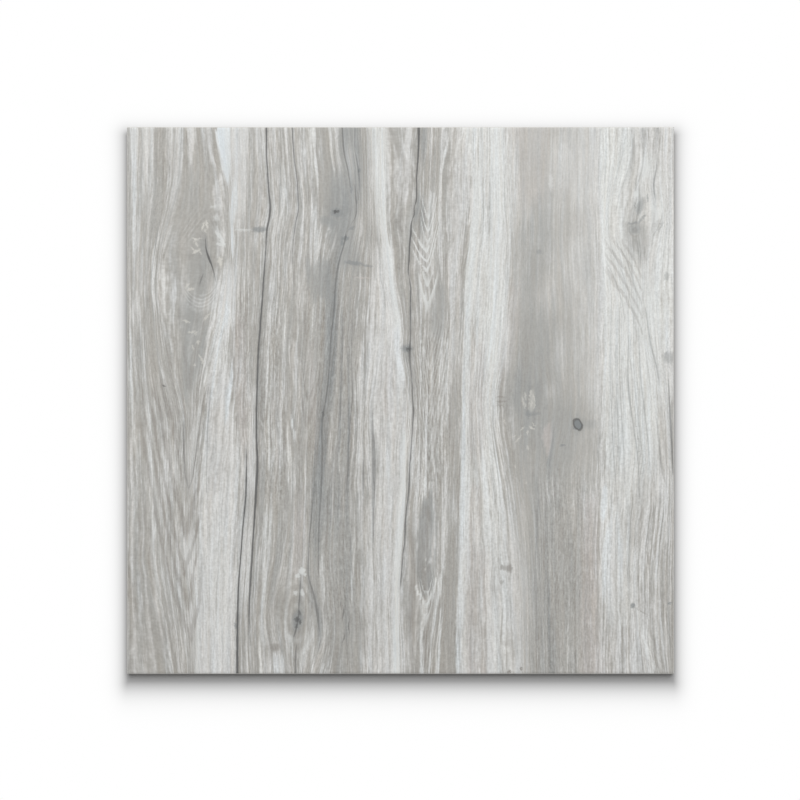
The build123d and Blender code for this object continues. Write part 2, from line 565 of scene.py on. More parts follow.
# The two long cracks, and the streaky board to the right of them with its eye knot
SECOND_BOARD: Rows = (
    (PALE, ((-128, 300, 50), (-126, 220, 46), (-128, 150, 40)), 16, 0.22, 0.95, 70),
    (TAUPE, ((-130, 100, 44), (-132, 0, 44), (-132, -100, 44), (-132, -190, 34)), 14, 0.35, None, 50),
    (PALE, ((-165, -30, 10), (-166, -60, 14), (-168, -100, 18), (-172, -220, 14)), 8, 0.5, None, 40),
    (TAUPE, ((-140, 90, 26), (-141, 40, 28), (-141, -40, 28), (-138, -100, 24)), 8, 0.3, 1.35, 30),
    (SMOKE, ((-152, 90, 4), (-154, 40, 8), (-155, -20, 10), (-155, -80, 10), (-156, -130, 9),
        (-159, -200, 6)), 6, 0.4),
    (LIME, ((-141, 260, 2), (-139, 230, 3), (-138, 205, 3), (-140, 180, 2)), 2, 0.5),
    (LIME, ((-130, 260, 4), (-128, 240, 5), (-128, 215, 3)), 3, 0.5),
    (SLATE, ((-132, 258, 1.5), (-132.5, 215, 2), (-134, 190, 1.5)), 1.5, 0.5),
    (LIME, ((-127, 90, 3), (-128, 60, 3.5), (-129, 30, 3), (-128, 15, 2)), 2.5, 0.4),
    (LIME, ((-144, 60, 2), (-146, 30, 3), (-147, 0, 2)), 2, 0.5),
    (LIME, ((-121, -15, 2), (-119, -25, 4), (-117, -32, 4), (-116.5, -36, 1)), 1.5, 0.65, None, 3),
    (LIME, ((-124, -38, 2), (-122, -60, 6), (-120, -80, 9), (-119, -100, 7)), 3, 0.45),
    (PALE, ((-101, 60, 3), (-100, 35, 7), (-99, 14, 5), (-99.5, 4, 1)), 2.5, 0.45, None, 5),
    (SMOKE, ((-108, 45, 1), (-106, 15, 2), (-102, 3, 3), (-100, -2, 1)), 1.5, 0.55, None, 4),
    (SMOKE, ((-90, 34, 1), (-93, 14, 2), (-97, 3, 3), (-99, -2, 1)), 1.5, 0.55, None, 4),
    (LIME, ((-144, -10, 2), (-144, -50, 3), (-142, -80, 2)), 2, 0.5),
    (LIME, ((-147, -110, 3), (-149, -160, 4), (-151, -210, 3), (-154, -260, 3), (-153, -300, 3)), 2, 0.65),
    (LIME, ((-143, -115, 4), (-145, -160, 3), (-148, -200, 3), (-149, -260, 3)), 2, 0.5),
    (SLATE, ((-132, -105, 5), (-130, -140, 6), (-132, -170, 6), (-137, -200, 4), (-140, -220, 3)), 5,
        0.45),
    (PALE, ((-119, -105, 4), (-118, -150, 5), (-116, -185, 6)), 5, 0.5),
    (PALE, ((-108, -110, 4), (-106, -135, 4), (-104, -165, 5), (-106, -185, 6)), 4, 0.6),
    (TAUPE, ((-115, -200, 16), (-113, -235, 36), (-113, -260, 24)), 12, 0.65, 0.9),
    (ROSE, ((-111, -108, 8), (-110, -130, 14), (-112, -165, 12), (-113, -185, 6)), 6, 0.6),
    Spot(SMOKE, (-102, -57), (12, 18), 0.0, 1.0, 0.5),
    Spot(TAUPE, (-171, -238), (7, 20), 0.0, 0.9, 0.6),
    (PALE, ((-118, 60, 10), (-112, 20, 14), (-110, 0, 8)), 8, 0.3),
    (SMOKE, ((-84, -115, 22), (-83, -160, 26), (-80, -205, 16)), 12, 0.4),
    (SMOKE, ((-110, -205, 3), (-111, -225, 9), (-112, -240, 13), (-114, -255, 9), (-115, -262, 4)), 7,
        0.6),
    (LIME, ((-121, -220, 1), (-126, -234, 3.5), (-127, -250, 4), (-123, -262, 2)), 2.5, 0.5),
    (LIME, ((-133, -205, 1), (-129, -195, 2), (-124, -186, 3)), 2, 0.5),
    (LIME, ((-103, -212, 1), (-99, -228, 2), (-97, -245, 2.5), (-99, -262, 2.5), (-105, -280, 2)), 1.5,
        0.6),
    (LIME, ((-103, -250, 1), (-104, -264, 5), (-108, -280, 4), (-110, -294, 1)), 2, 0.65),
    (LIME, ((-127, -256, 1), (-122, -265, 6), (-118, -276, 2)), 2, 0.65),
    Spot(CHALK, (-135, -290), (8, 16), 0.0, 0.7, 0.6),
    (SLATE, ((-101, -196, 4), (-96, -212, 7), (-91, -230, 8), (-88, -250, 6), (-89, -270, 3)), 3, 0.65),
)

# Third board: bluish smoke with dark blue-grey lines, a small knot, a saw mark and taupe patches
SMOKY_BOARD: Rows = (
    (TAUPE, ((-82, 300, 10), (-81, 270, 12), (-80, 240, 14), (-78, 210, 18), (-77, 185, 20)), 8, 0.7, 0.7),
    (SMOKE, ((-54, 300, 22), (-56, 260, 34), (-62, 225, 38), (-65, 195, 34), (-63, 170, 28),
        (-60, 150, 30)), 14, 0.75, 0.6),
    (TAUPE, ((-86, 160, 20), (-84, 140, 34), (-80, 100, 50), (-74, 50, 52), (-74, 0, 50), (-76, -50, 48),
        (-78, -100, 48), (-76, -150, 48), (-72, -200, 40), (-66, -240, 34)), 12, 1.0, 1.25),
    (TAUPE, ((-46, 200, 16), (-44, 120, 20), (-42, 40, 20), (-42, -40, 18), (-42, -100, 14)), 12, 0.25),
    (SMOKE, ((-74, 152, 16), (-75, 100, 15), (-78, 40, 14), (-82, 0, 16), (-88, -60, 14), (-92, -100, 14),
        (-93, -140, 13), (-94, -190, 6)), (4, 3), 0.65, 1.2),
    (SLATE, ((-71, 130, 7), (-74, 90, 9), (-77, 50, 10), (-80, 10, 11), (-83, -20, 11), (-86, -60, 10),
        (-92, -110, 10), (-93, -140, 7), (-91, -170, 4), (-91, -195, 2)), (3, 2), 0.55),
    (SMOKE, ((-79, -80, 3), (-78, -140, 3), (-76, -180, 2)), 2, 0.6),
    (SMOKE, ((-72, -100, 3), (-71, -160, 3), (-69, -215, 3)), 2, 0.6),
    (SMOKE, ((-61, -120, 3), (-60, -170, 4), (-59, -215, 3)), 2, 0.6),
    (SMOKE, ((-48, -105, 2), (-47, -150, 2), (-49, -180, 2)), 2, 0.5),
    (SLATE, ((-57, 40, 2), (-57, -60, 2.5), (-58, -120, 3), (-55, -160, 3), (-54, -200, 2)), 2, 0.6),
    (SLATE, ((-64, 90, 2), (-66, 0, 2), (-68, -110, 2), (-67, -160, 2), (-65, -200, 2)), 2, 0.5),
    (PALE, ((-76, -40, 2), (-75, -100, 2), (-76, -150, 3), (-78, -200, 2)), 2, 0.4),
    (PALE, ((-61, 60, 2), (-62, -60, 2), (-63, -110, 2.5), (-62, -150, 2)), 2, 0.35),
    (LIME, ((-52, -140, 1.5), (-52, -170, 2.5), (-54, -210, 2.5), (-55, -235, 1)), 1.5, 0.6),
    (LIME, ((-99, 300, 8), (-97, 275, 9), (-94, 255, 6), (-92, 238, 2)), 5, 0.5),
    (LIME, ((-78, 300, 4), (-76, 280, 3), (-73, 260, 2)), 2.5, 0.6),
    (PALE, ((-70, 300, 5), (-69, 275, 4), (-67, 255, 3)), 2.5, 0.5),
    (LIME, ((-97, 218, 2), (-94, 200, 4), (-93, 180, 6), (-93, 165, 5), (-93, 150, 2)), 2.5, 0.6),
    (PALE, ((-78, 186, 2), (-84, 176, 3), (-89, 166, 3)), 2, 0.6),
    (PALE, ((-72, 178, 2), (-76, 168, 3), (-80, 158, 2)), 2, 0.5),
    (LIME, ((-96, 110, 4), (-96, 90, 4), (-98, 70, 2)), 2.5, 0.45),
    (PALE, ((-44, 190, 4), (-38, 175, 10), (-34, 160, 14)), 6, 0.4),
    (SMOKE, ((-91, 153, 26), (-89, 140, 30), (-86, 115, 24)), 5, 0.5, 0.7, 3),
    (ROSE, ((-98, 50, 5), (-97, 20, 6), (-95, -20, 7), (-94, -40, 4)), 4, 0.4),
    (LIME, ((-67, -50, 2), (-67, -60, 3), (-67, -70, 2)), 1.5, 0.6, None, 5),
    (PALE, ((-79, -30, 2), (-79, -60, 3), (-80, -90, 3)), 2, 0.5),
    (LIME, ((-85, -160, 2), (-86, -180, 5), (-85, -200, 5), (-84, -218, 2)), 2, 0.75),
    (PALE, ((-80, -145, 2), (-80, -180, 3), (-80, -220, 3)), 2, 0.5),
    (PALE, ((-72, -165, 2), (-71, -180, 3), (-71, -195, 2)), 2, 0.5),
    (TAUPE, ((-58, -232, 26), (-57, -255, 32), (-57, -280, 34), (-58, -300, 36)), 4, 0.7, 1.0),
    (GREIGE, ((-66, -210, 3), (-67, -240, 3), (-66, -262, 2)), 2, 0.6),
    (GREIGE, ((-52, -220, 2), (-50, -250, 3), (-47, -275, 3)), 2, 0.6),
    (SMOKE, ((-61, -225, 2), (-60, -250, 3), (-58, -275, 2)), 2, 0.6),
    (SMOKE, ((-44, -225, 2), (-44, -255, 2), (-43, -290, 2)), 2, 0.5),
    (LIME, ((-80, -250, 4), (-84, -275, 4), (-88, -300, 4)), 3, 0.5),
    (LIME, ((-96, -262, 3), (-97, -280, 3), (-97, -296, 2)), 2, 0.5),
)

# The pale board: a bluish-white edge beside the second crack, and creamy streaks under it
PALE_BOARD: Rows = (
    (PALE, ((-33, 300, 10), (-32, 250, 10), (-30, 200, 12)), 8, 0.45),
    (PALE, ((-20, 160, 20), (-18, 130, 30), (-18, 100, 34), (-18, 60, 40), (-18, 20, 42), (-16, -20, 44),
        (-17, -60, 40), (-17, -120, 38), (-20, -160, 40), (-21, -210, 42), (-18, -260, 38),
        (-17, -300, 38)), 12, 0.6),
    (LIME, ((-25, 300, 17), (-23, 260, 15), (-22, 230, 13), (-21, 205, 11), (-19, 185, 10), (-15, 165, 10),
        (-13, 150, 10), (-9, 125, 9), (-5, 100, 9), (-3, 80, 9)), (9, 1.2), 0.75, 0.7),
    (CHALK, ((-4, 70, 6), (-3, 50, 6), (1, 30, 7), (2, 15, 5)), (6, 1.5), 0.6),
    (TAUPE, ((-5, 300, 24), (-5, 250, 24), (-4, 220, 24), (-2, 190, 22), (0, 165, 18), (2, 140, 14),
        (5, 115, 12), (7, 95, 9)), 3, 0.42),
    (PALE, ((3, 300, 3), (4, 270, 3), (3, 250, 3), (4, 225, 2)), 2, 0.5),
    (PALE, ((9, 300, 3), (10, 280, 3), (11, 260, 3), (10, 240, 2)), 2, 0.5),
    (LIME, ((4, -42, 5), (3, -70, 6), (2, -100, 7), (0, -130, 8), (-2, -160, 7), (-4, -200, 7),
        (-5, -240, 6), (-5, -300, 8)), (4, 1.5), 0.8, 0.6),
    (CHALK, ((-13, -30, 3), (-14, -60, 3), (-14, -85, 3)), 2.5, 0.5),
    (ROSE, ((-12, 40, 10), (-14, 20, 14), (-14, -10, 14)), 9, 0.4),
    (PALE, ((-44, 60, 4), (-43, 20, 5), (-44, -30, 4), (-44, -90, 5), (-44, -150, 5)), 4, 0.5),
)

# Fourth board: V figure at the top, dark oval heart below, wavy grain at the foot
HEART_BOARD: Rows = (
    (TAUPE, ((46, 300, 40), (44, 250, 50), (42, 200, 56), (42, 150, 54), (40, 100, 50), (38, 50, 48),
        (38, 0, 46), (36, -50, 46), (34, -100, 46), (32, -160, 52), (30, -220, 50), (30, -300, 50)), 10,
        0.3),
    (PALE, ((70, 300, 28), (66, 240, 22), (61, 190, 16), (57, 130, 14)), 8, 0.45, None, 40),
    (TAUPE, ((36, 80, 38), (35, 0, 40), (33, -100, 40)), 6, 0.1, 1.35, 16),
    (PALE, ((32, 215, 14), (31, 180, 20), (30, 145, 16)), 8, 0.4),
    (PALE, ((50, -70, 5), (49, -120, 8), (48, -180, 6)), 4, 0.45),
    (TAUPE, ((74, 182, 4), (72, 168, 8), (68, 140, 8), (65, 120, 8), (63, 90, 9), (61, 40, 9), (60, 0, 10),
        (60, -50, 10), (58, -100, 11), (57, -160, 10), (55, -200, 11), (54, -300, 12)), (4, 1.2), 0.7),
    (LIME, ((84, 240, 3), (81, 205, 4), (79, 180, 5), (75, 150, 5), (73, 120, 4), (72, 100, 4)), (1, 4),
        0.6),
    (SMOKE, ((27, 300, 6), (26, 285, 7), (25, 268, 3)), 4, 0.7),
    (SMOKE, ((21, 218, 6), (22, 203, 11), (24, 190, 5)), 5, 0.7),
    (SMOKE, ((44, 125, 10), (42, 100, 14), (40, 75, 12)), 8, 0.45, 0.6),
    (LIME, ((54, 300, 2), (53, 288, 2), (50, 275, 2), (47, 262, 2), (45, 248, 2), (44, 225, 2),
        (43, 205, 1.5)), 1.5, 0.5),
    (LIME, ((34, 232, 1), (33, 222, 2.5), (31, 205, 2), (29, 185, 1)), 1.5, 0.5),
    (LIME, ((20, 76, 1), (19.5, 66, 2), (19, 58, 1)), 1.5, 0.5, None, 4),
    (LIME, ((23, 60, 1), (24, 55, 2.5), (25, 48, 1)), 1.5, 0.5, None, 4),
    (LIME, ((33, 52, 1), (31, 44, 2), (29, 34, 1)), 1.5, 0.5, None, 4),
    (LIME, ((21, 32, 1), (22, 25, 2), (24, 18, 1)), 1.5, 0.5, None, 4),
    (LIME, ((36, 36, 1), (35, 28, 2), (34, 8, 1.5)), 1.5, 0.45, None, 4),
    (LIME, ((52, 60, 2), (52, 30, 2), (50, 10, 2), (50, -20, 2)), 1.5, 0.45),
    (PALE, ((56, 110, 3), (56, 60, 3), (56, 20, 2)), 2, 0.5),
    (LIME, ((35, -36, 1.5), (34.5, -55, 2), (36, -72, 2), (39, -85, 2), (42, -98, 2)), 1.5, 0.6, None, 5),
    (LIME, ((27, -80, 1), (26, -90, 3), (25, -100, 3), (24, -108, 1)), 1.5, 0.6, None, 4),
    (LIME, ((29, -86, 1), (31, -96, 3), (33, -104, 1)), 1.5, 0.5, None, 4),
    (LIME, ((14.5, -42, 1), (14, -60, 2), (13, -78, 2), (12, -92, 1)), 1.5, 0.6, None, 5),
    (SMOKE, ((30, -104, 10), (29, -135, 20), (28, -160, 22), (28, -185, 21), (28, -200, 17), (27, -209, 8)),
        3, 0.72, 0.7, 4),
    (BARK, ((29, -115, 6), (26, -145, 12), (26, -190, 14), (26, -204, 6)), 6, 0.25, None, 4),
    (PALE, ((36, -112, 1), (38, -140, 1.5), (36, -162, 1.5), (32, -174, 1)), 1, 0.5, None, 4),
    (PALE, ((20, -122, 1), (18, -145, 1.3), (20, -164, 1)), 1, 0.5, None, 4),
    (LIME, ((33, -168, 1), (30.5, -175, 2), (27, -182, 1)), 1, 0.5, None, 3),
    (BARK, ((11, -150, 5), (12, -185, 8), (13, -215, 10), (12, -240, 10), (10, -270, 8)), 5, 0.4, 0.6),
    (LIME, ((17, -203, 1), (20, -210, 4), (25, -217, 7), (28, -224, 5), (29, -231, 1)), 1.5, 0.9, None, 3),
    (LIME, ((40, -192, 1), (37, -203, 3), (34, -212, 5), (31, -221, 4)), 1.5, 0.85, None, 3),
    (LIME, ((46, -178, 2), (43, -200, 3.5), (40, -225, 3.5), (37, -242, 3), (34, -262, 2.5), (31, -300, 2)),
        1.5, 0.65),
    (LIME, ((25, -228, 4), (23, -245, 4), (22, -270, 3), (23, -300, 3)), 2, 0.65),
    (LIME, ((44, -235, 1.5), (43, -262, 2.5), (42, -285, 2.5), (41, -300, 2)), 1.5, 0.6),
    (BARK, ((36, -215, 2), (32, -230, 4), (29, -245, 4), (27, -262, 3), (27, -285, 2)), 1.5, 0.55),
    (BARK, ((43, -225, 2), (40, -240, 3.5), (36, -256, 3.5), (32, -275, 3), (30, -295, 2)), 1.5, 0.5),
    Spot(SMOKE, (6, 52), (6, 13), 0.0, 0.8, 0.55),
)

# Fifth and sixth boards: limed streaks, then smooth greige with a pale knot eye
SMOOTH_BOARD: Rows = (
    (LIME, ((94, 300, 50), (98, 240, 40), (98, 190, 44), (95, 130, 48), (93, 100, 47), (89, 40, 43),
        (86, -40, 40), (90, -120, 50), (92, -200, 54), (92, -300, 62)), (2, 12), 0.6),
    (ROSE, ((140, 300, 50), (140, 250, 46), (145, 215, 30)), 20, 0.5),
    (PALE, ((126, -100, 14), (128, -130, 24), (129, -170, 28), (130, -230, 26), (130, -300, 20)), 14, 0.6,
        None, 30),
    (GREIGE, ((172, 300, 96), (172, 200, 96), (170, 0, 96), (172, -150, 84), (172, -300, 84)), (44, 24),
        0.6, 0.6),
    (ROSE, ((124, 120, 14), (121, 75, 14), (114, 42, 12), (109, 12, 4)), 8, 0.3),
    (TAUPE, ((80, 140, 1.5), (79, 60, 2), (77, 0, 2), (78, -60, 1.5)), 1.5, 0.45),
    (LIME, ((97, 130, 8), (96, 60, 9), (95, 0, 8), (96, -60, 7)), 3, 0.4),
    (TAUPE, ((150, 120, 40), (160, 60, 60), (162, 0, 70), (160, -60, 70), (164, -120, 56), (165, -200, 60),
        (168, -300, 60)), 30, 0.5, None, 60),
    (PALE, ((210, 300, 26), (210, 200, 24), (211, 100, 24), (210, 20, 20)), (36, 8), 0.42, None, 60),
    (SMOKE, ((148, 215, 14), (150, 180, 30), (156, 130, 30), (152, 70, 36), (150, 30, 46), (160, -30, 62),
        (160, -80, 46), (158, -150, 30), (156, -220, 24), (157, -300, 22)), 22, 0.36),
    (TAUPE, ((180, -100, 60), (180, -160, 70), (180, -300, 76)), 20, 0.1, 1.25, 40),
    (LIME, ((105, 300, 14), (106, 250, 13), (107, 200, 13), (105, 150, 15), (103, 100, 14), (99, 40, 9)), 4,
        0.5, 0.8),
    (LIME, ((84, 250, 8), (83, 210, 10), (80, 170, 9), (77, 130, 9), (76, 100, 8)), (1.5, 4), 0.55, 0.8),
    (GREIGE, ((93, 300, 5), (93, 240, 5), (92, 180, 5), (90, 120, 5), (88, 80, 5)), 3, 0.35),
    (CHALK, ((104, 300, 3), (104, 200, 3), (103, 100, 3), (102, 0, 3)), 3, 0.4),
    (CHALK, ((73, 100, 4), (71, 40, 4), (70, -20, 4), (68, -90, 5), (67, -130, 6), (65, -180, 5),
        (63, -240, 4), (62, -300, 4)), (1.5, 4), 0.6),
    (ROSE, ((86, 60, 14), (84, 20, 18), (83, -60, 14)), 9, 0.55),
    (ROSE, ((88, -170, 22), (88, -240, 28), (88, -300, 28)), 12, 0.45),
    (TAUPE, ((182, -150, 16), (184, -210, 22), (182, -260, 16)), 10, 0.4),
    Spot(SMOKE, (206, 150), (16, 22), 0.2, 1.0, 0.3),
    (ROSE, ((82, -100, 12), (80, -160, 14), (78, -220, 14), (78, -300, 16)), 9, 0.5),
    Spot(TAUPE, (78, 243), (9, 4), 0.0, 0.9, 0.35),
    Spot(BARK, (109, 0), (6, 9), 0.0, 1.0, 0.25),
    Spot(SMOKE, (140, 190), (10, 22), 0.2, 1.0, 0.35),
    Spot(SMOKE, (124, 12), (12, 30), 0.25, 1.0, 0.45),
    (ROSE, ((161, -30, 9), (161, -42, 11), (162.5, -54, 6), (163.5, -64, 1)), 2, 0.55, None, 5),
    (SMOKE, ((168, -38, 1), (167, -50, 2), (165, -60, 3), (163.5, -72, 4), (164, -84, 1)), 2, 0.55, None,
        5),
    (SMOKE, ((155, -46, 1), (157, -56, 2), (161, -66, 2)), 1.5, 0.5, None, 5),
    Spot(SMOKE, (194.5, -26.5), (9, 11), 0.1, 0.9, 0.5),
    (SLATE, ((151, -110, 2), (149, -160, 2), (148, -185, 3), (149, -205, 2), (150, -260, 2)), 2, 0.45),
    (SLATE, ((163, -200, 2), (163, -250, 3), (164, -300, 3)), 2.5, 0.45),
    (SMOKE, ((168, -235, 2), (168, -270, 3), (168, -300, 3)), 2, 0.5),
    (SLATE, ((192, -275, 2), (192, -300, 3)), 2, 0.4),
    (LIME, ((190, -110, 2), (191, -150, 2), (192, -180, 1)), 2, 0.4),
    (LIME, ((184, -250, 2), (184, -270, 2), (183, -300, 2)), 2, 0.5),
)

# Seventh board: white streaks, the swirling knot at the top and flaring streaks at the foot
RIGHT_BOARD: Rows = (
    (PALE, ((262, 300, 90), (262, 200, 90), (262, 100, 90), (262, 0, 80), (260, -100, 90), (262, -200, 90),
        (262, -300, 90)), 16, 0.35, 1.1),
    (LIME, ((240, 300, 34), (236, 250, 30), (232, 210, 18), (238, 170, 30), (252, 130, 50), (258, 90, 68),
        (258, 40, 70), (254, -20, 60), (250, -70, 50), (244, -120, 40), (240, -170, 36), (240, -240, 30)),
        20, 0.5, 1.1),
    (LIME, ((242, 300, 30), (240, 270, 26), (236, 245, 18)), 8, 0.6),
    (LIME, ((223.5, 300, 9), (223, 260, 7), (223.5, 200, 6), (224, 165, 6), (225.5, 145, 4)), (1.2, 2),
        0.9),
    (PALE, ((290, 230, 14), (292, 180, 16), (290, 140, 20)), 6, 0.6),
    (TAUPE, ((280, 300, 16), (283, 270, 14), (288, 240, 8)), 10, 0.3),
    (TAUPE, ((257, 300, 8), (256, 260, 7), (256, 235, 10)), 6, 0.3),
    (LIME, ((247, 292, 3), (241, 262, 4), (236, 238, 4), (240, 208, 5), (243, 190, 3)), 2.5, 0.55),
    (TAUPE, ((255, 268, 2), (249, 242, 3), (243, 222, 3), (239, 205, 2)), 2, 0.5),
    (TAUPE, ((235, 218, 1), (231, 197, 2.5), (231, 175, 3)), 2, 0.55),
    (TAUPE, ((262, 262, 1.4), (260, 245, 2), (254, 228, 2.6), (247, 208, 2), (246, 196, 1.4)), 1.4, 0.55),
    (TAUPE, ((252, 250, 1), (245, 232, 1.6), (238, 218, 1.4), (234, 208, 1)), 1.2, 0.5),
    (SMOKE, ((263, 224, 8), (262, 210, 17), (258, 195, 25), (259, 175, 24), (262, 158, 20)), 10, 0.36, 0.8,
        14),
    (PALE, ((296, 300, 12), (296, 200, 12), (296, 80, 12), (296, 20, 8)), 5, 0.6, None, 30),
    Spot(SLATE, (264, 220), (7, 17), 0.1, 1.0, 0.32),
    (LIME, ((271, 226, 2), (276, 213, 3.5), (275, 200, 2.5)), 2, 0.5),
    (LIME, ((281, 228, 2), (286, 213, 4), (284, 200, 3.5), (279, 190, 2)), 2, 0.55),
    (LIME, ((271, 158, 4), (279, 167, 5), (288, 178, 5), (298, 192, 5)), 3, 0.5),
    (TAUPE, ((264, -90, 8), (258, -125, 22), (252, -150, 18)), 10, 0.5),
    (PALE, ((284, 120, 14), (286, 80, 16), (288, 40, 12)), 8, 0.4),
    (PALE, ((286, -75, 8), (287, -110, 10)), 5, 0.4),
    (PALE, ((279, -225, 6), (280, -260, 12)), 6, 0.4),
    Spot(SMOKE, (262, 172), (10, 16), 0.0, 1.0, 0.25),
    Spot(LIME, (248, 201), (5, 6), 0.0, 0.9, 0.5),
    (CREAM, ((258, 250, 70), (256, 100, 66), (256, 0, 66), (256, -90, 60)), 14, 0.16, 0.95, 30),
    (CHALK, ((268, 60, 8), (267, 20, 10), (268, -20, 12), (269, -50, 10), (272, -80, 4)), 7, 0.55),
    (LIME, ((226.5, 145, 5), (226.5, 100, 8), (226.5, 40, 8), (227, -20, 8), (228, -60, 6)), (1.2, 4),
        0.6),
    (CHALK, ((224, -95, 6), (223, -115, 8), (223, -128, 4)), 2.5, 0.7, None, 4),
    (CHALK, ((230, -138, 3), (226, -160, 6), (224, -185, 6), (223, -215, 4)), 4, 0.65),
    (CHALK, ((237, -132, 3), (241, -160, 5), (242, -190, 5), (242, -212, 3)), 4, 0.65),
    (PALE, ((233, -140, 6), (233, -180, 14), (233, -230, 14)), 6, 0.4),
    (ROSE, ((208, -110, 16), (208, -180, 18), (208, -240, 20), (212, -300, 26)), 10, 0.55),
    (TAUPE, ((292, -170, 10), (292, -220, 16), (292, -270, 20), (294, -300, 20)), 8, 0.6),
    (LIME, ((262, -235, 4), (266, -260, 5), (273, -285, 5), (277, -300, 5)), 2, 0.6),
    (LIME, ((270, -250, 2), (275, -275, 3), (283, -300, 3)), 2, 0.5),
)

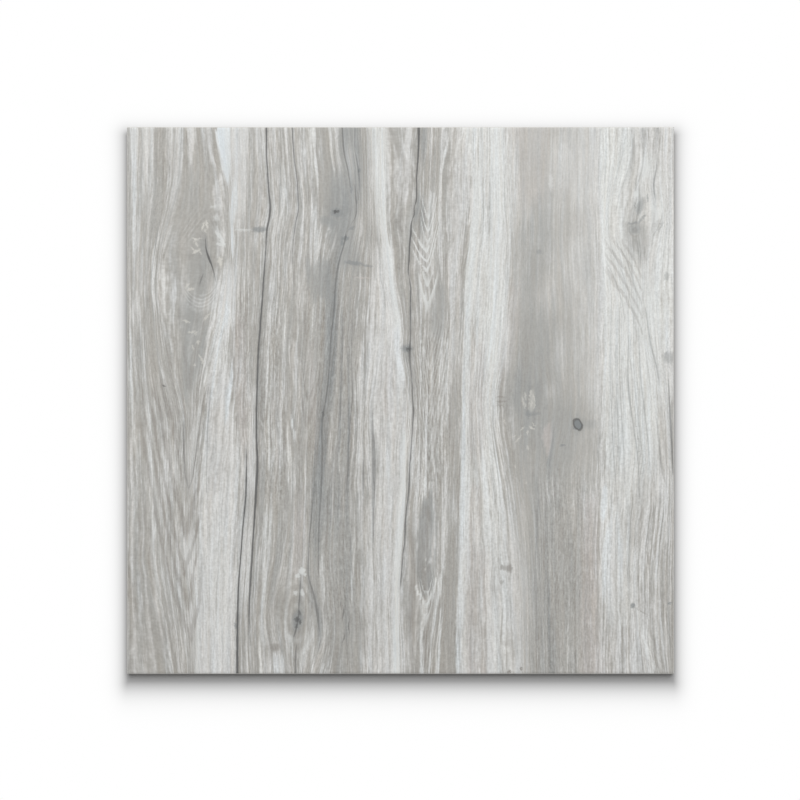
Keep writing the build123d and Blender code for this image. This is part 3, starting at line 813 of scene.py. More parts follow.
# Broad faint shades across the strokes, of each tone: x, y, half width, half length and strength
SHADES = tuple(
    Spot(tone, (x, y), (width, length), 0.0, 1.0, strength)
    for tone, rows in (
        (SMOKE, (
            (22, 203, 11, 20, 0.7), (140, 25, 15, 60, 0.45), (142, -30, 12, 24, 0.3),
            (-27, -65, 4, 30, 0.7), (-62, -205, 26, 100, 0.3), (-78, -120, 12, 70, 0.5),
            (-68, 0, 36, 330, 0.14), (184, -192, 10, 44, 0.45), (-128, -108, 16, 18, 0.3),
        )),
        (TAUPE, (
            (-122, -200, 36, 110, 0.42), (-122, 0, 34, 120, 0.3), (-245, 100, 60, 220, 0.1),
            (30, -200, 26, 110, 0.12), (-20, -100, 22, 210, 0.2), (-240, 200, 64, 110, 0.15),
            (-95, -205, 50, 100, 0.25), (-140, -112, 40, 18, 0.45), (135, -175, 22, 100, 0.3),
            (35, -232, 8, 22, 0.5), (-205, 200, 60, 20, 0.3), (-95, -195, 9, 34, 0.5),
            (-100, -30, 9, 40, 0.4), (140, 45, 14, 40, 0.25), (-30, 190, 12, 50, 0.4),
            (-280, 200, 7, 50, 0.4), (184, 250, 8, 40, 0.3), (-280, 185, 8, 40, 0.5),
            (-253, 198, 10, 24, 0.5), (-215, 194, 45, 14, 0.4), (-187, 228, 14, 34, 0.35),
            (-140, 242, 24, 34, 0.35), (-201, 165, 8, 16, 0.4), (-262, 55, 24, 50, 0.5),
            (-207, 42, 8, 24, 0.35), (-204, -16, 8, 20, 0.4), (-286, 130, 8, 24, 0.4),
            (-290, -270, 10, 26, 0.5), (-275, -186, 8, 28, 0.4), (-166, -117, 7, 26, 0.8),
            (-137, -112, 10, 18, 0.8), (-112, -110, 14, 14, 0.4), (-106, -46, 14, 20, 0.5),
            (-100, 45, 12, 30, 0.4), (-61, 132, 14, 34, 0.6), (-75, -20, 10, 30, 0.4),
            (-66, -175, 32, 70, 0.3), (-78, -158, 12, 34, 0.5), (-42, -170, 10, 50, 0.4),
            (-140, -230, 28, 16, 0.4), (-100, -190, 9, 20, 0.6), (-105, -251, 10, 26, 0.7),
            (-150, -255, 8, 34, 0.4), (-125, -285, 20, 20, 0.35), (-165, -229, 6, 16, 0.4),
            (-61, -273, 20, 16, 0.4), (-28, -240, 10, 30, 0.3), (-34, 285, 8, 30, 0.6),
            (-66, 260, 10, 24, 0.3), (20, 190, 9, 26, 0.3), (-36, 230, 9, 50, 0.5), (-38, 195, 9, 36, 0.6),
            (-32, 160, 10, 26, 0.4), (26, 28, 10, 26, 0.4), (62, 187, 7, 18, 0.3), (90, 127, 5, 36, 0.4),
            (81, 78, 6, 24, 0.4), (81, -60, 7, 46, 0.6), (66, -185, 5, 36, 0.4), (81, -205, 9, 60, 0.55),
            (70, -250, 8, 44, 0.35), (88, -262, 12, 36, 0.4), (112, -150, 16, 40, 0.25),
            (128, -95, 9, 40, 0.5), (136, -153, 9, 26, 0.4), (125, -273, 8, 24, 0.4),
            (188, 193, 14, 22, 0.4), (205, 127, 12, 30, 0.25), (200, -20, 9, 50, 0.4),
            (186, -195, 9, 40, 0.7), (243, -235, 18, 24, 0.4), (246, -186, 12, 28, 0.4),
            (251, -142, 14, 30, 0.4), (266, -95, 10, 26, 0.4), (221, -240, 10, 28, 0.4),
        )),
        (PALE, (
            (38, 0, 22, 100, 0.15), (60, 60, 8, 40, 0.35), (0, -4, 14, 22, 0.4), (-6, -112, 12, 40, 0.3),
            (-122, -186, 8, 34, 0.4), (-165, 6, 9, 14, 0.5), (-133, -47, 7, 36, 0.5),
            (20, -72, 14, 28, 0.35), (36, -160, 10, 30, 0.35), (-183, -213, 8, 28, 0.5),
            (-231, -245, 8, 30, 0.5), (-204, 116, 8, 26, 0.5), (142, 200, 10, 30, 0.3),
            (-4, 250, 9, 44, 0.7), (-12, 292, 8, 14, 0.5), (-152, 285, 9, 30, 0.35),
            (190, 250, 26, 50, 0.35), (46, 289, 16, 14, 0.4), (177, 264, 14, 30, 0.4),
            (278, 250, 18, 34, 0.4), (-96, 190, 14, 50, 0.4), (-105, 259, 10, 26, 0.4),
            (-56, 264, 8, 26, 0.25), (-108, 116, 10, 24, 0.3), (-248, 121, 12, 18, 0.3),
            (-198, 127, 10, 16, 0.3), (-179, 115, 7, 40, 0.4), (-176, 28, 14, 30, 0.25),
            (-140, 94, 8, 34, 0.35), (-134, 6, 12, 20, 0.5), (-138, -43, 8, 34, 0.35),
            (-182, -54, 8, 36, 0.4), (-226, -32, 8, 34, 0.3), (-256, -81, 12, 26, 0.3),
            (-201, -81, 12, 30, 0.4), (-234, -172, 12, 30, 0.6), (-212, -190, 20, 40, 0.3),
            (-186, -210, 9, 28, 0.5), (-154, -169, 5, 28, 0.4), (-127, -197, 6, 20, 0.4),
            (-47, 17, 7, 34, 0.4), (12, -40, 7, 34, 0.5), (51, 0, 7, 36, 0.3), (7, -180, 6, 26, 0.4),
            (59, -120, 6, 24, 0.4), (18, 152, 6, 14, 0.3), (43, 165, 6, 20, 0.3), (62, 116, 7, 26, 0.4),
            (26, 112, 9, 22, 0.4), (76, 215, 5, 26, 0.6), (113, 60, 7, 32, 0.7), (-292, 100, 10, 22, 0.5),
            (-252, -60, 8, 44, 0.35), (-230, -70, 6, 30, 0.4), (160, 112, 14, 26, 0.4),
            (164, 149, 12, 28, 0.3), (175, 50, 10, 30, 0.4), (192, 150, 14, 40, 0.35),
            (165, 10, 12, 12, 0.3), (109, 160, 12, 50, 0.3), (169, -98, 10, 24, 0.4),
            (205, -109, 10, 26, 0.4), (222, 48, 7, 60, 0.4), (286, 150, 12, 40, 0.5),
            (276, 190, 12, 22, 0.4), (287, -92, 7, 16, 0.5), (109, -213, 9, 28, 0.4),
            (287, -262, 8, 20, 0.4), (7, -273, 7, 24, 0.4), (-39, -284, 9, 14, 0.4),
            (-220, 106, 16, 10, 0.4),
        )),
        (LIME, (
            (256, 15, 32, 90, 0.6), (243, 0, 8, 70, 0.6), (265, -5, 8, 70, 0.6), (262, 78, 14, 20, 0.45),
            (271, 258, 7, 14, 0.7), (235, 83, 8, 26, 0.5), (231, 240, 8, 60, 0.4), (292, 112, 8, 54, 0.6),
            (-1, -2, 5, 16, 0.5), (120, 250, 12, 56, 0.5), (240, 270, 20, 44, 0.55), (268, 1, 10, 36, 0.9),
            (279, 98, 18, 40, 0.75), (288, 150, 14, 60, 0.6), (275, 225, 22, 40, 0.35),
            (-200, -200, 14, 90, 0.35), (113, 90, 8, 40, 0.4), (228, 180, 8, 50, 0.3),
            (250, 130, 20, 30, 0.3), (-190, 62, 8, 40, 0.25), (234, -62, 8, 28, 0.5),
        )),
    )
    for x, y, width, length, strength in rows
)

# All strokes and spots, in the order in which they are laid
STROKES = tuple(
    row if isinstance(row, Spot) else Stroke(*row)
    for board in (
        LEFT_BOARD, SECOND_BOARD, SMOKY_BOARD, PALE_BOARD, HEART_BOARD, SMOOTH_BOARD, RIGHT_BOARD, SHADES,
    )
    for row in board
)

# Flecks of lime, knots' cores, saw marks and specks, from the left board to the right one
FLECKS = tuple(
    Fleck(tone, (x, y), (width, length), turn, strength, soft)
    for tone, rows in (
        (CREAM, (
            (-216.5, 191, 1.4, 5, -12, 0.7, 0.8), (-212.5, 193, 1.4, 4.5, 12, 0.7, 0.8),
            (-214, 186, 1.8, 2, 0, 0.5, 0.8), (-225.5, 177, 3.5, 1.2, -25, 0.7, 0.8),
            (-221, 177.5, 3, 0.9, 20, 0.6, 0.8), (-224, 171.5, 1.2, 4, 35, 0.6, 0.8),
            (-224, 164, 4.5, 1.6, 25, 0.7, 0.8), (-227.5, 166, 3, 1, -40, 0.55, 0.8),
            (-219.5, 162, 1.2, 2.5, 20, 0.5, 0.8), (-198, 152, 2.6, 6, 5, 0.7, 0.6),
            (-230, 122, 4, 1.8, 10, 0.6, 0.6), (-234, 126, 1.5, 4, -30, 0.5, 0.6),
            (-235, 87, 4, 1.4, -20, 0.55, 0.9), (-229, 75, 4, 1.1, 10, 0.5, 0.9),
            (-224, 74, 1, 2.5, -20, 0.45, 0.9), (-222, 64, 1.4, 2.6, -20, 0.55, 0.9),
            (-228, 58, 1.1, 3, 10, 0.5, 0.9), (-219, 46, 1.2, 5, 25, 0.55, 0.9),
            (-217, 42, 1.2, 2.2, 0, 0.5, 0.9), (-226, 39, 1.2, 1.6, 0, 0.5, 0.9),
            (-212, 92, 1.2, 6, -40, 0.55, 0.9), (144, -1, 3.4, 11, -6, 0.35, 0.95),
            (143, 7, 1.3, 4.5, -10, 0.55, 0.9), (146.5, 3, 1.2, 5, 5, 0.6, 0.9),
            (143.5, -4, 1.4, 5, -15, 0.6, 0.9), (147, -5, 1.0, 4, -10, 0.5, 0.9),
            (137, 5, 1.2, 4, 10, 0.45, 0.9), (134.5, -1, 1.2, 5, 10, 0.45, 0.9),
            (136.5, -6, 0.9, 3, -10, 0.4, 0.9), (134, -31, 0.9, 3.2, -40, 0.55, 0.9),
            (144, -30, 0.9, 3.2, 60, 0.6, 0.9), (146, -26, 0.8, 2.6, 40, 0.5, 0.9),
            (139, -35, 0.8, 2.8, -15, 0.5, 0.9), (129, -42, 1.1, 4.5, -40, 0.5, 0.9),
            (125, -39, 0.9, 2.5, -60, 0.45, 0.9), (114, -23, 0.9, 2, 30, 0.5, 0.9),
            (140, -52, 0.9, 3, 20, 0.4, 0.9), (126, -73, 1.4, 1.6, 0, 0.45, 0.9),
            (138, -90, 1.2, 1.4, 0, 0.45, 0.9),
        )),
        (LIME, (
            (-199, 181, 2.5, 6, 35, 0.75, 0.6), (-195, 174, 2, 6, 30, 0.75, 0.6),
            (-198, 171, 4, 1.6, -30, 0.6, 0.6), (-173, 187, 9, 1.4, 0, 0.5, 0.8),
            (-108, -187, 3.5, 4, 20, 0.85, 0.6), (-113, -192, 3, 2.6, 0, 0.75, 0.6),
            (-105, -191, 2, 2.5, 0, 0.7, 0.6), (-115, -211, 2.6, 2.6, 0, 0.65, 0.6),
            (-107.5, -211, 2.2, 4, 20, 0.75, 0.6), (258, 226, 2.6, 3.6, 0, 0.85, 0.6),
            (268, 255, 4, 12, 0, 0.6, 0.8), (282, 203, 2, 9, -15, 0.65, 0.6),
            (277, 210, 2, 6, 20, 0.6, 0.6),
        )),
        (CHARCOAL, (
            (-259, 16, 1.4, 1.2, 0, 0.6, 0.6), (-110.5, -233, 1.3, 3, 10, 0.6, 0.9),
            (-113.5, -240, 2.4, 2.6, 0, 0.8, 0.9), (-110, -243, 1.5, 1.8, 0, 0.7, 0.9),
            (-114, -247, 1.4, 3, -10, 0.6, 0.9), (-71, 207.5, 3, 2.2, 0, 0.85, 0.6),
            (-84.5, -15, 1.6, 3, 0, 0.5, 0.6), (8.5, 56.5, 3.4, 1.8, 0, 0.75, 0.6),
            (257.5, 213, 1.2, 4, 0, 0.35, 0.6),
        )),
        (SLATE, (
            (-154.5, 187.5, 8.5, 3.2, 2, 0.7, 0.6), (-157, 188, 2.5, 1.5, 0, 0.5, 0.8),
            (-181, -247, 1.8, 3.5, 0, 0.6, 0.6), (-113, -241, 5.5, 10, -8, 0.65, 0.95),
            (-70, 206, 6, 4.5, 0, 0.6, 0.9), (-61, 178, 4.5, 2.6, 0, 0.75, 0.6),
            (-64, 173, 2, 3, 20, 0.6, 0.6), (-54, 189, 4, 1.6, 30, 0.5, 0.6),
            (-45.5, 252, 1.6, 2.4, 0, 0.65, 0.6), (-54, 231, 1.6, 4, 0, 0.4, 0.6),
            (-51, 150.8, 11, 2.4, -7, 0.6, 0.6), (-37, 148, 7, 1.3, -10, 0.45, 0.6),
            (7, 57, 6, 4, 0, 0.65, 0.9), (141, -14, 4, 3, 0, 0.55, 0.95), (146, -15, 7, 1.8, 6, 0.35, 0.95),
            (140.5, -15, 1.2, 5, 0, 0.4, 0.9), (152, 163, 3.5, 2.5, 0, 0.35, 0.9),
            (178, -49, 3.5, 1.2, 15, 0.55, 0.6), (255, 194.5, 6.5, 1.2, 8, 0.55, 0.6),
            (191.5, -30, 2.6, 2.2, 20, 0.6, 0.9), (265, 199.5, 1.4, 7, -40, 0.5, 0.6),
            (256.5, 188, 6, 5, 20, 0.4, 0.9), (256, 187, 1.4, 1.2, 0, 0.5, 0.8),
            (263, 213, 3.5, 9, -20, 0.45, 0.95), (271, 222, 1.2, 5, 0, 0.5, 0.6),
            (291, 50, 1.2, 3, 0, 0.3, 0.9), (255, -225, 2.6, 3.2, 0, 0.75, 0.6),
            (296, -222, 3, 1.6, 15, 0.65, 0.6),
        )),
        (BARK, (
            (-138, -271, 5, 4.5, 0, 0.55, 0.8), (140, -2, 0.9, 8, -4, 0.4, 0.9),
            (110, 4, 5, 1, 0, 0.45, 0.6), (110, -1, 5.5, 1, 0, 0.45, 0.6), (110, -6, 5, 1, 0, 0.4, 0.6),
            (119, -184, 3.6, 4.6, 0, 0.65, 0.8), (112, -183, 2.6, 3, 0, 0.6, 0.8),
            (115.5, -184.5, 3, 1.4, 0, 0.5, 0.6), (111, -200, 2, 3, 0, 0.45, 0.6),
            (119.5, -297.5, 1.8, 2, 0, 0.8, 0.6), (132.5, -294.5, 2, 1.6, 0, 0.75, 0.6),
            (264.5, -231.5, 10, 0.8, -30, 0.35, 0.6),
        )),
        (SMOKE, (
            (-79, 196, 10, 5, -20, 0.6, 0.8), (152, 8, 4, 16, -8, 0.4, 0.95),
            (128, -4, 4, 14, 10, 0.35, 0.95), (208, -26, 8, 5, 0, 0.35, 0.9),
            (196, -25, 0.8, 3.4, 25, 0.6, 0.9), (193, -23, 0.7, 2.4, -20, 0.5, 0.9),
            (262, 166, 9, 12, 0, 0.2, 0.95), (266, 184, 5, 10, 10, 0.25, 0.95),
            (285, 190, 1.2, 8, -20, 0.4, 0.6), (292, 136, 2.5, 5, 0, 0.5, 0.8),
            (295, 47, 7, 6, 0, 0.5, 0.95),
        )),
        (ROSE, (
            (-41, 134.5, 10, 1, -2, 0.6, 0.6),
        )),
        (TAUPE, (
            (118, -266, 6, 4, 0, 0.4, 0.9), (257, 187.5, 3.2, 3.2, 0, 0.7, 0.8),
            (259, 184, 12, 16, 0, 0.35, 0.95), (253, 202, 6, 9, -15, 0.3, 0.95),
        )),
        (PALE, (
            (165, 239, 2.2, 9, 0, 0.7, 0.6),
        )),
    )
    for x, y, width, length, turn, strength, soft in rows
)

# Growth rings that show as figures: V figures between the boards' edges, and rings round the knots
FIGURES: tuple[Arches | Eye, ...] = (
    Arches(((-232, 100), (-232, -97)), (50, -10, -66, -118), (44, 24), (330, 140), 1.15, 0.13, 0.17, 60),
    Arches(((-234, -60), (-236, -143), (-236, -190), (-233, -222), (-230, -300)),
        (-66, -118, -168, -206, -240, -285), (50, 16), (230, 60), 1.15, 0.25, 0.36, 20),
    Arches(((-219, 130), (-221, 80)), (115, 111, 107, 103, 99), (17, 17), 12, 2.0, 0.3, 0.15, 128),
    Arches(((-212, 240), (-212, 150)), (226, 219, 212, 205, 198), (28, 20), -36, 1.3, 0.2, 0.12, 198),
    Arches(((-101, 90), (-101, 0), (-106, -60)), (10, -4, -36), (10, 12), 60, 2.0, 0.15, 0.3, 60),
    Eye((-114, -238), (26, 54), 4, 0.0, 0.16, 0.14),
    Eye((27, -152), (17, 66), 3, 0.0, 0.1, 0.1),
    Arches(((31, 250), (30, 160)), (200, 186, 174), (8, 14), (24, 70), 1.5, 0.8, 0.1, 225),
    Arches(((29, 190), (29, 100)), (164, 152, 143), (16, 14), (24, 55), 1.4, 0.95, 0.1, 195),
    Arches(((30, 150), (29, 95)), (126, 104), (11, 12), 40, 1.3, 0.9, 0.0, 140),
    Arches(((33, 80), (31, 0), (30, -110)), (66, 48, 33, 15, 0, -18, -35, -55, -75, -100), (17, 24), 130,
        1.1, 0.42, 0.12, 75),
    Arches(((28, -120), (28, -228)), (-212, -224, -238), (13, 13), 70, 2.0, 0.65, 0.15, -165),
    Arches(((264, 180), (266, 60)), (138, 124, 110, 95, 80, 62), (40, 3), 72, 0.75, 0.36, 0.25, 172),
    Eye((257, 187), (8, 10), 2, 0.0, 0.2, 0.3),
    Arches(((264, -220), (270, -300)), (-235, -252, -270, -290), (18, 24), -60, 1.2, 0.2, 0.12),
)

# Dark lines: cracks that are pressed into the face, and thin lines that are only printed
DARK_LINES: tuple[Line, ...] = (
    Line(((-147, 300, 2.2), (-147, 270, 1.6), (-145.5, 245, 1.6), (-144, 225, 1.6), (-143, 212, 2.4),
        (-144, 200, 2.2), (-146.5, 188, 2.2), (-147.5, 170, 1.4), (-148.5, 155, 1.4), (-150, 135, 1.8),
        (-151, 120, 1.8), (-152.5, 100, 2), (-154, 80, 2.2), (-155.5, 60, 2.2), (-156.5, 40, 2.2),
        (-157.5, 10, 2), (-158, -10, 2), (-158, -40, 2), (-157, -70, 2.4), (-158.5, -100, 2.6),
        (-160, -125, 2.2), (-161.5, -150, 2), (-163, -175, 2), (-164.5, -200, 2), (-166, -230, 1.6),
        (-166, -262, 0.4)), 0.85, 1.0),
    Line(((-169, -55, 0.6), (-169, -80, 1.6), (-169.5, -100, 1.8), (-171, -120, 1.8), (-173, -140, 1.6),
        (-174.5, -160, 1.6), (-176, -180, 1.6), (-177.5, -200, 1.8), (-178.5, -230, 2.2), (-179, -260, 2.4),
        (-179, -300, 2.8)), 0.9, 1.0),
    Line(((20, 300, 3), (20, 290, 2.6), (19.5, 270, 2), (18, 250, 1.6), (17.5, 230, 1.6), (17, 218, 1.2),
        (15.2, 212, 0.8), (14.8, 203, 1.2), (13, 199, 0.6), (11.8, 194, 1.4), (11.5, 188, 2.2),
        (11, 180, 2.4), (10, 170, 2), (9.5, 155, 1.8), (8.6, 140, 1.2), (9.6, 134, 0.8), (11, 124, 1.4),
        (11, 108, 1.6)), 0.85, 1.0),
    Line(((11, 108, 1.6), (11, 100, 1.8), (11, 80, 1.4), (10.5, 65, 1.6), (10, 55, 2.6), (10.5, 42, 1.6),
        (12, 30, 1.2), (13, 15, 1.2), (13.5, 0, 1.4), (14, -12, 2), (13.5, -25, 1.6), (12.5, -40, 1.4),
        (11.5, -55, 1.2), (10, -75, 1.6), (9, -100, 1.8), (6.5, -120, 1.4), (5, -140, 1.8),
        (4.5, -155, 1.6), (2.5, -170, 1.2), (1.5, -185, 1.2), (0, -200, 1), (-0.5, -207, 0.4)), 0.75, 0.9),
    Line(((-214, 176, 0.8), (-213, 165, 1.6), (-210.5, 157, 2.6), (-206, 145, 1.2), (-203, 132, 0.6)), 0.85,
        0.8),
    Line(((-118.5, 300, 2), (-118, 285, 1.8), (-116.5, 265, 1.4), (-114, 245, 1.2), (-112.5, 225, 1.4),
        (-112, 210, 1.4), (-115, 195, 1), (-117, 180, 0.8), (-119, 150, 0.4)), 0.62),
    Line(((-110, -197, 1), (-110.5, -212, 1.6), (-111.5, -226, 1.6), (-112, -238, 1.2), (-113.5, -246, 1.2),
        (-115, -253, 1.6), (-117, -259, 0.8)), 0.6, 0.8),
    Line(((-114, -268, 0.8), (-115, -280, 2), (-115, -300, 2.2)), 0.5),
    Line(((-64, 300, 1.4), (-63, 285, 1.6), (-62, 272, 1.4), (-59, 258, 1.2), (-57, 248, 1),
        (-55, 235, 0.6)), 0.5),
    Line(((-50, 300, 1), (-50, 275, 1.2), (-47, 258, 1.4), (-46, 250, 1.8), (-45, 240, 1), (-46, 220, 0.6)),
        0.45),
    Line(((-50, 236, 0.8), (-49, 222, 1.4), (-48, 210, 1.2), (-50, 200, 0.8), (-55, 192, 0.5)), 0.5),
    Line(((-60, 180, 2), (-63, 168, 1.6), (-66, 158, 1.8), (-69, 145, 1.8), (-71, 130, 1.6),
        (-73, 100, 1.8), (-76, 70, 1.4), (-78, 40, 1.2), (-80, 15, 1.2), (-83, -5, 1.4), (-85, -15, 2),
        (-86, -60, 1.4), (-87, -100, 1.4), (-89, -130, 1.4), (-90, -160, 1), (-90, -190, 0.6)), 0.5, 0.4),
    Line(((-52, 100, 0.6), (-54, 40, 1), (-53, 0, 1.2), (-55, -20, 1.4), (-57, -50, 1.4), (-58, -80, 1.2),
        (-60, -100, 0.8)), 0.4),
    Line(((-31, -12, 0.8), (-30.5, -30, 2.4), (-29.5, -55, 4.4), (-29.5, -85, 4.6), (-30, -110, 3),
        (-30, -155, 1)), 0.42),
    Line(((-41, -66, 0.8), (-41, -85, 2.6), (-41, -104, 0.8)), 0.35),
    Line(((-216.5, 138, 1), (-219, 132, 1.6), (-220, 128, 0.8)), 0.45),
    Line(((-238, -22, 0.8), (-238, -40, 2), (-237, -65, 1.6), (-236, -82, 1.6), (-233, -95, 1)), 0.35),
    Line(((-211, 20, 0.8), (-216, 0, 1), (-222, -40, 1.2), (-226, -70, 1.4), (-229, -88, 1.2),
        (-232, -96, 1)), 0.35),
    Line(((-208, 10, 0.6), (-211, -20, 1), (-212, -50, 1.2), (-213, -100, 0.8)), 0.35),
    Line(((-63, 90, 0.6), (-64, 40, 1), (-66, 0, 1), (-66, -40, 0.8)), 0.3),
    Line(((-95, -100, 1), (-98, -130, 1.2), (-100, -150, 1.6), (-101, -175, 1.6), (-100.5, -195, 1.6),
        (-96, -210, 2), (-92, -228, 2.4), (-90, -242, 2.4), (-89, -252, 1)), 0.4),
    Line(((288, 206, 0.6), (285, 196, 1.4), (281, 187, 1), (277, 181, 0.6)), 0.25),
    Line(((281, 262, 0.6), (280, 250, 1.2), (278, 240, 1.6), (279, 225, 1.2), (280, 219, 0.6)), 0.5),
    Line(((294, 22, 0.6), (295, 0, 1.2), (296, -20, 1.6), (297, -40, 2), (298, -60, 2), (299, -80, 1.2)),
        0.6),
    Line(((231, 100, 0.8), (230, 30, 1.2), (232, -20, 1.2), (234, -60, 1.2), (237, -105, 0.8)), 0.28),
    Line(((236, 60, 0.6), (237, 10, 1), (239, -40, 1), (240, -80, 0.6)), 0.26),
    Line(((240, 100, 0.8), (241, 10, 1.2), (244, -40, 1.2), (247, -105, 0.8)), 0.28),
    Line(((250, 70, 1), (250, 15, 1.8), (255, -25, 1.6), (260, -60, 1.4), (262, -105, 0.8)), 0.34),
    Line(((255.5, 95, 0.6), (256, 30, 1), (262, -30, 1.2), (267, -80, 0.8)), 0.28),
    Line(((261, 80, 0.8), (264, 20, 1.4), (270, -30, 1.4), (274, -80, 0.8)), 0.32),
    Line(((269, 100, 0.8), (271, 85, 1.2), (275, 60, 1.8), (280, 40, 1.8), (284, 18, 0.8)), 0.34),
    Line(((281, -20, 0.8), (284, -50, 2), (287, -75, 3), (291, -92, 1)), 0.22),
    Line(((265, 300, 0.8), (265, 255, 1.2), (262, 243, 1.4), (258, 232, 0.8)), 0.25),
    Line(((255, 285, 0.6), (252, 262, 1), (246, 242, 1.2), (240, 225, 1.2), (236, 205, 0.8)), 0.2),
    Line(((247, 290, 0.6), (243, 268, 1), (237, 246, 1), (232, 225, 0.8)), 0.18),
    Line(((226, 152, 0.6), (232, 140, 1), (238, 125, 1.2), (243, 108, 1.2), (246, 90, 0.8)), 0.22),
    Line(((232, 165, 0.8), (240, 148, 1.2), (247, 130, 1.2), (252, 110, 1.2), (255, 92, 0.8)), 0.22),
    Line(((237, 173, 0.8), (246, 158, 1.2), (252, 142, 1.2), (257, 125, 1), (260, 108, 0.6)), 0.22),
    Line(((-65, -218, 0.6), (-65.5, -222, 1.6), (-66, -226, 0.6)), 0.45),
    Line(((-62, -226, 0.6), (-62.5, -233, 1.8), (-64, -240, 0.6)), 0.45),
    Line(((-56, -240, 0.6), (-57, -248, 1.8), (-56, -255, 0.6)), 0.45),
    Line(((-61, -256, 0.6), (-62, -261, 1.8), (-64, -266, 0.6)), 0.45),
)


@dataclass(frozen=True)
class Ring:
    """A knot's rim: a closed, slightly cornered loop round a smooth heart.

    Args:
        place: x and y of the middle.
        size: Half width and half length.
        lean: How far it leans in x for each millimetre of y.
        corners: Number of blunt corners.
        turn: Turn of the corners, in radians.
        bulge: How far the corners stand out, as a share of the size.
    """

    place: Pair
    size: Pair
    lean: float
    corners: int
    turn: float
    bulge: float

    def distance(self, grid: FaceGrid) -> Array:
        """Signed distance from the rim's middle line, in millimetres, less than 0 inside.

        Args:
            grid: Points of the face.

        Returns:
            The ellipse's radius less 1 and less a cosine of the corner angle, times the mean half size.
        """
        up = grid.y - self.place[1]
        aside = (grid.x - self.place[0] - self.lean * up) / self.size[0]
        up = up / self.size[1]
        corner = self.bulge * np.cos(self.corners * np.arctan2(up, aside) + self.turn)
        return (np.hypot(aside, up) - 1 - corner) * sum(self.size) / 2


RING_KNOT = Ring((194.5, -26.3), (4.5, 6.0), -0.25, 5, 0.8, 0.05)


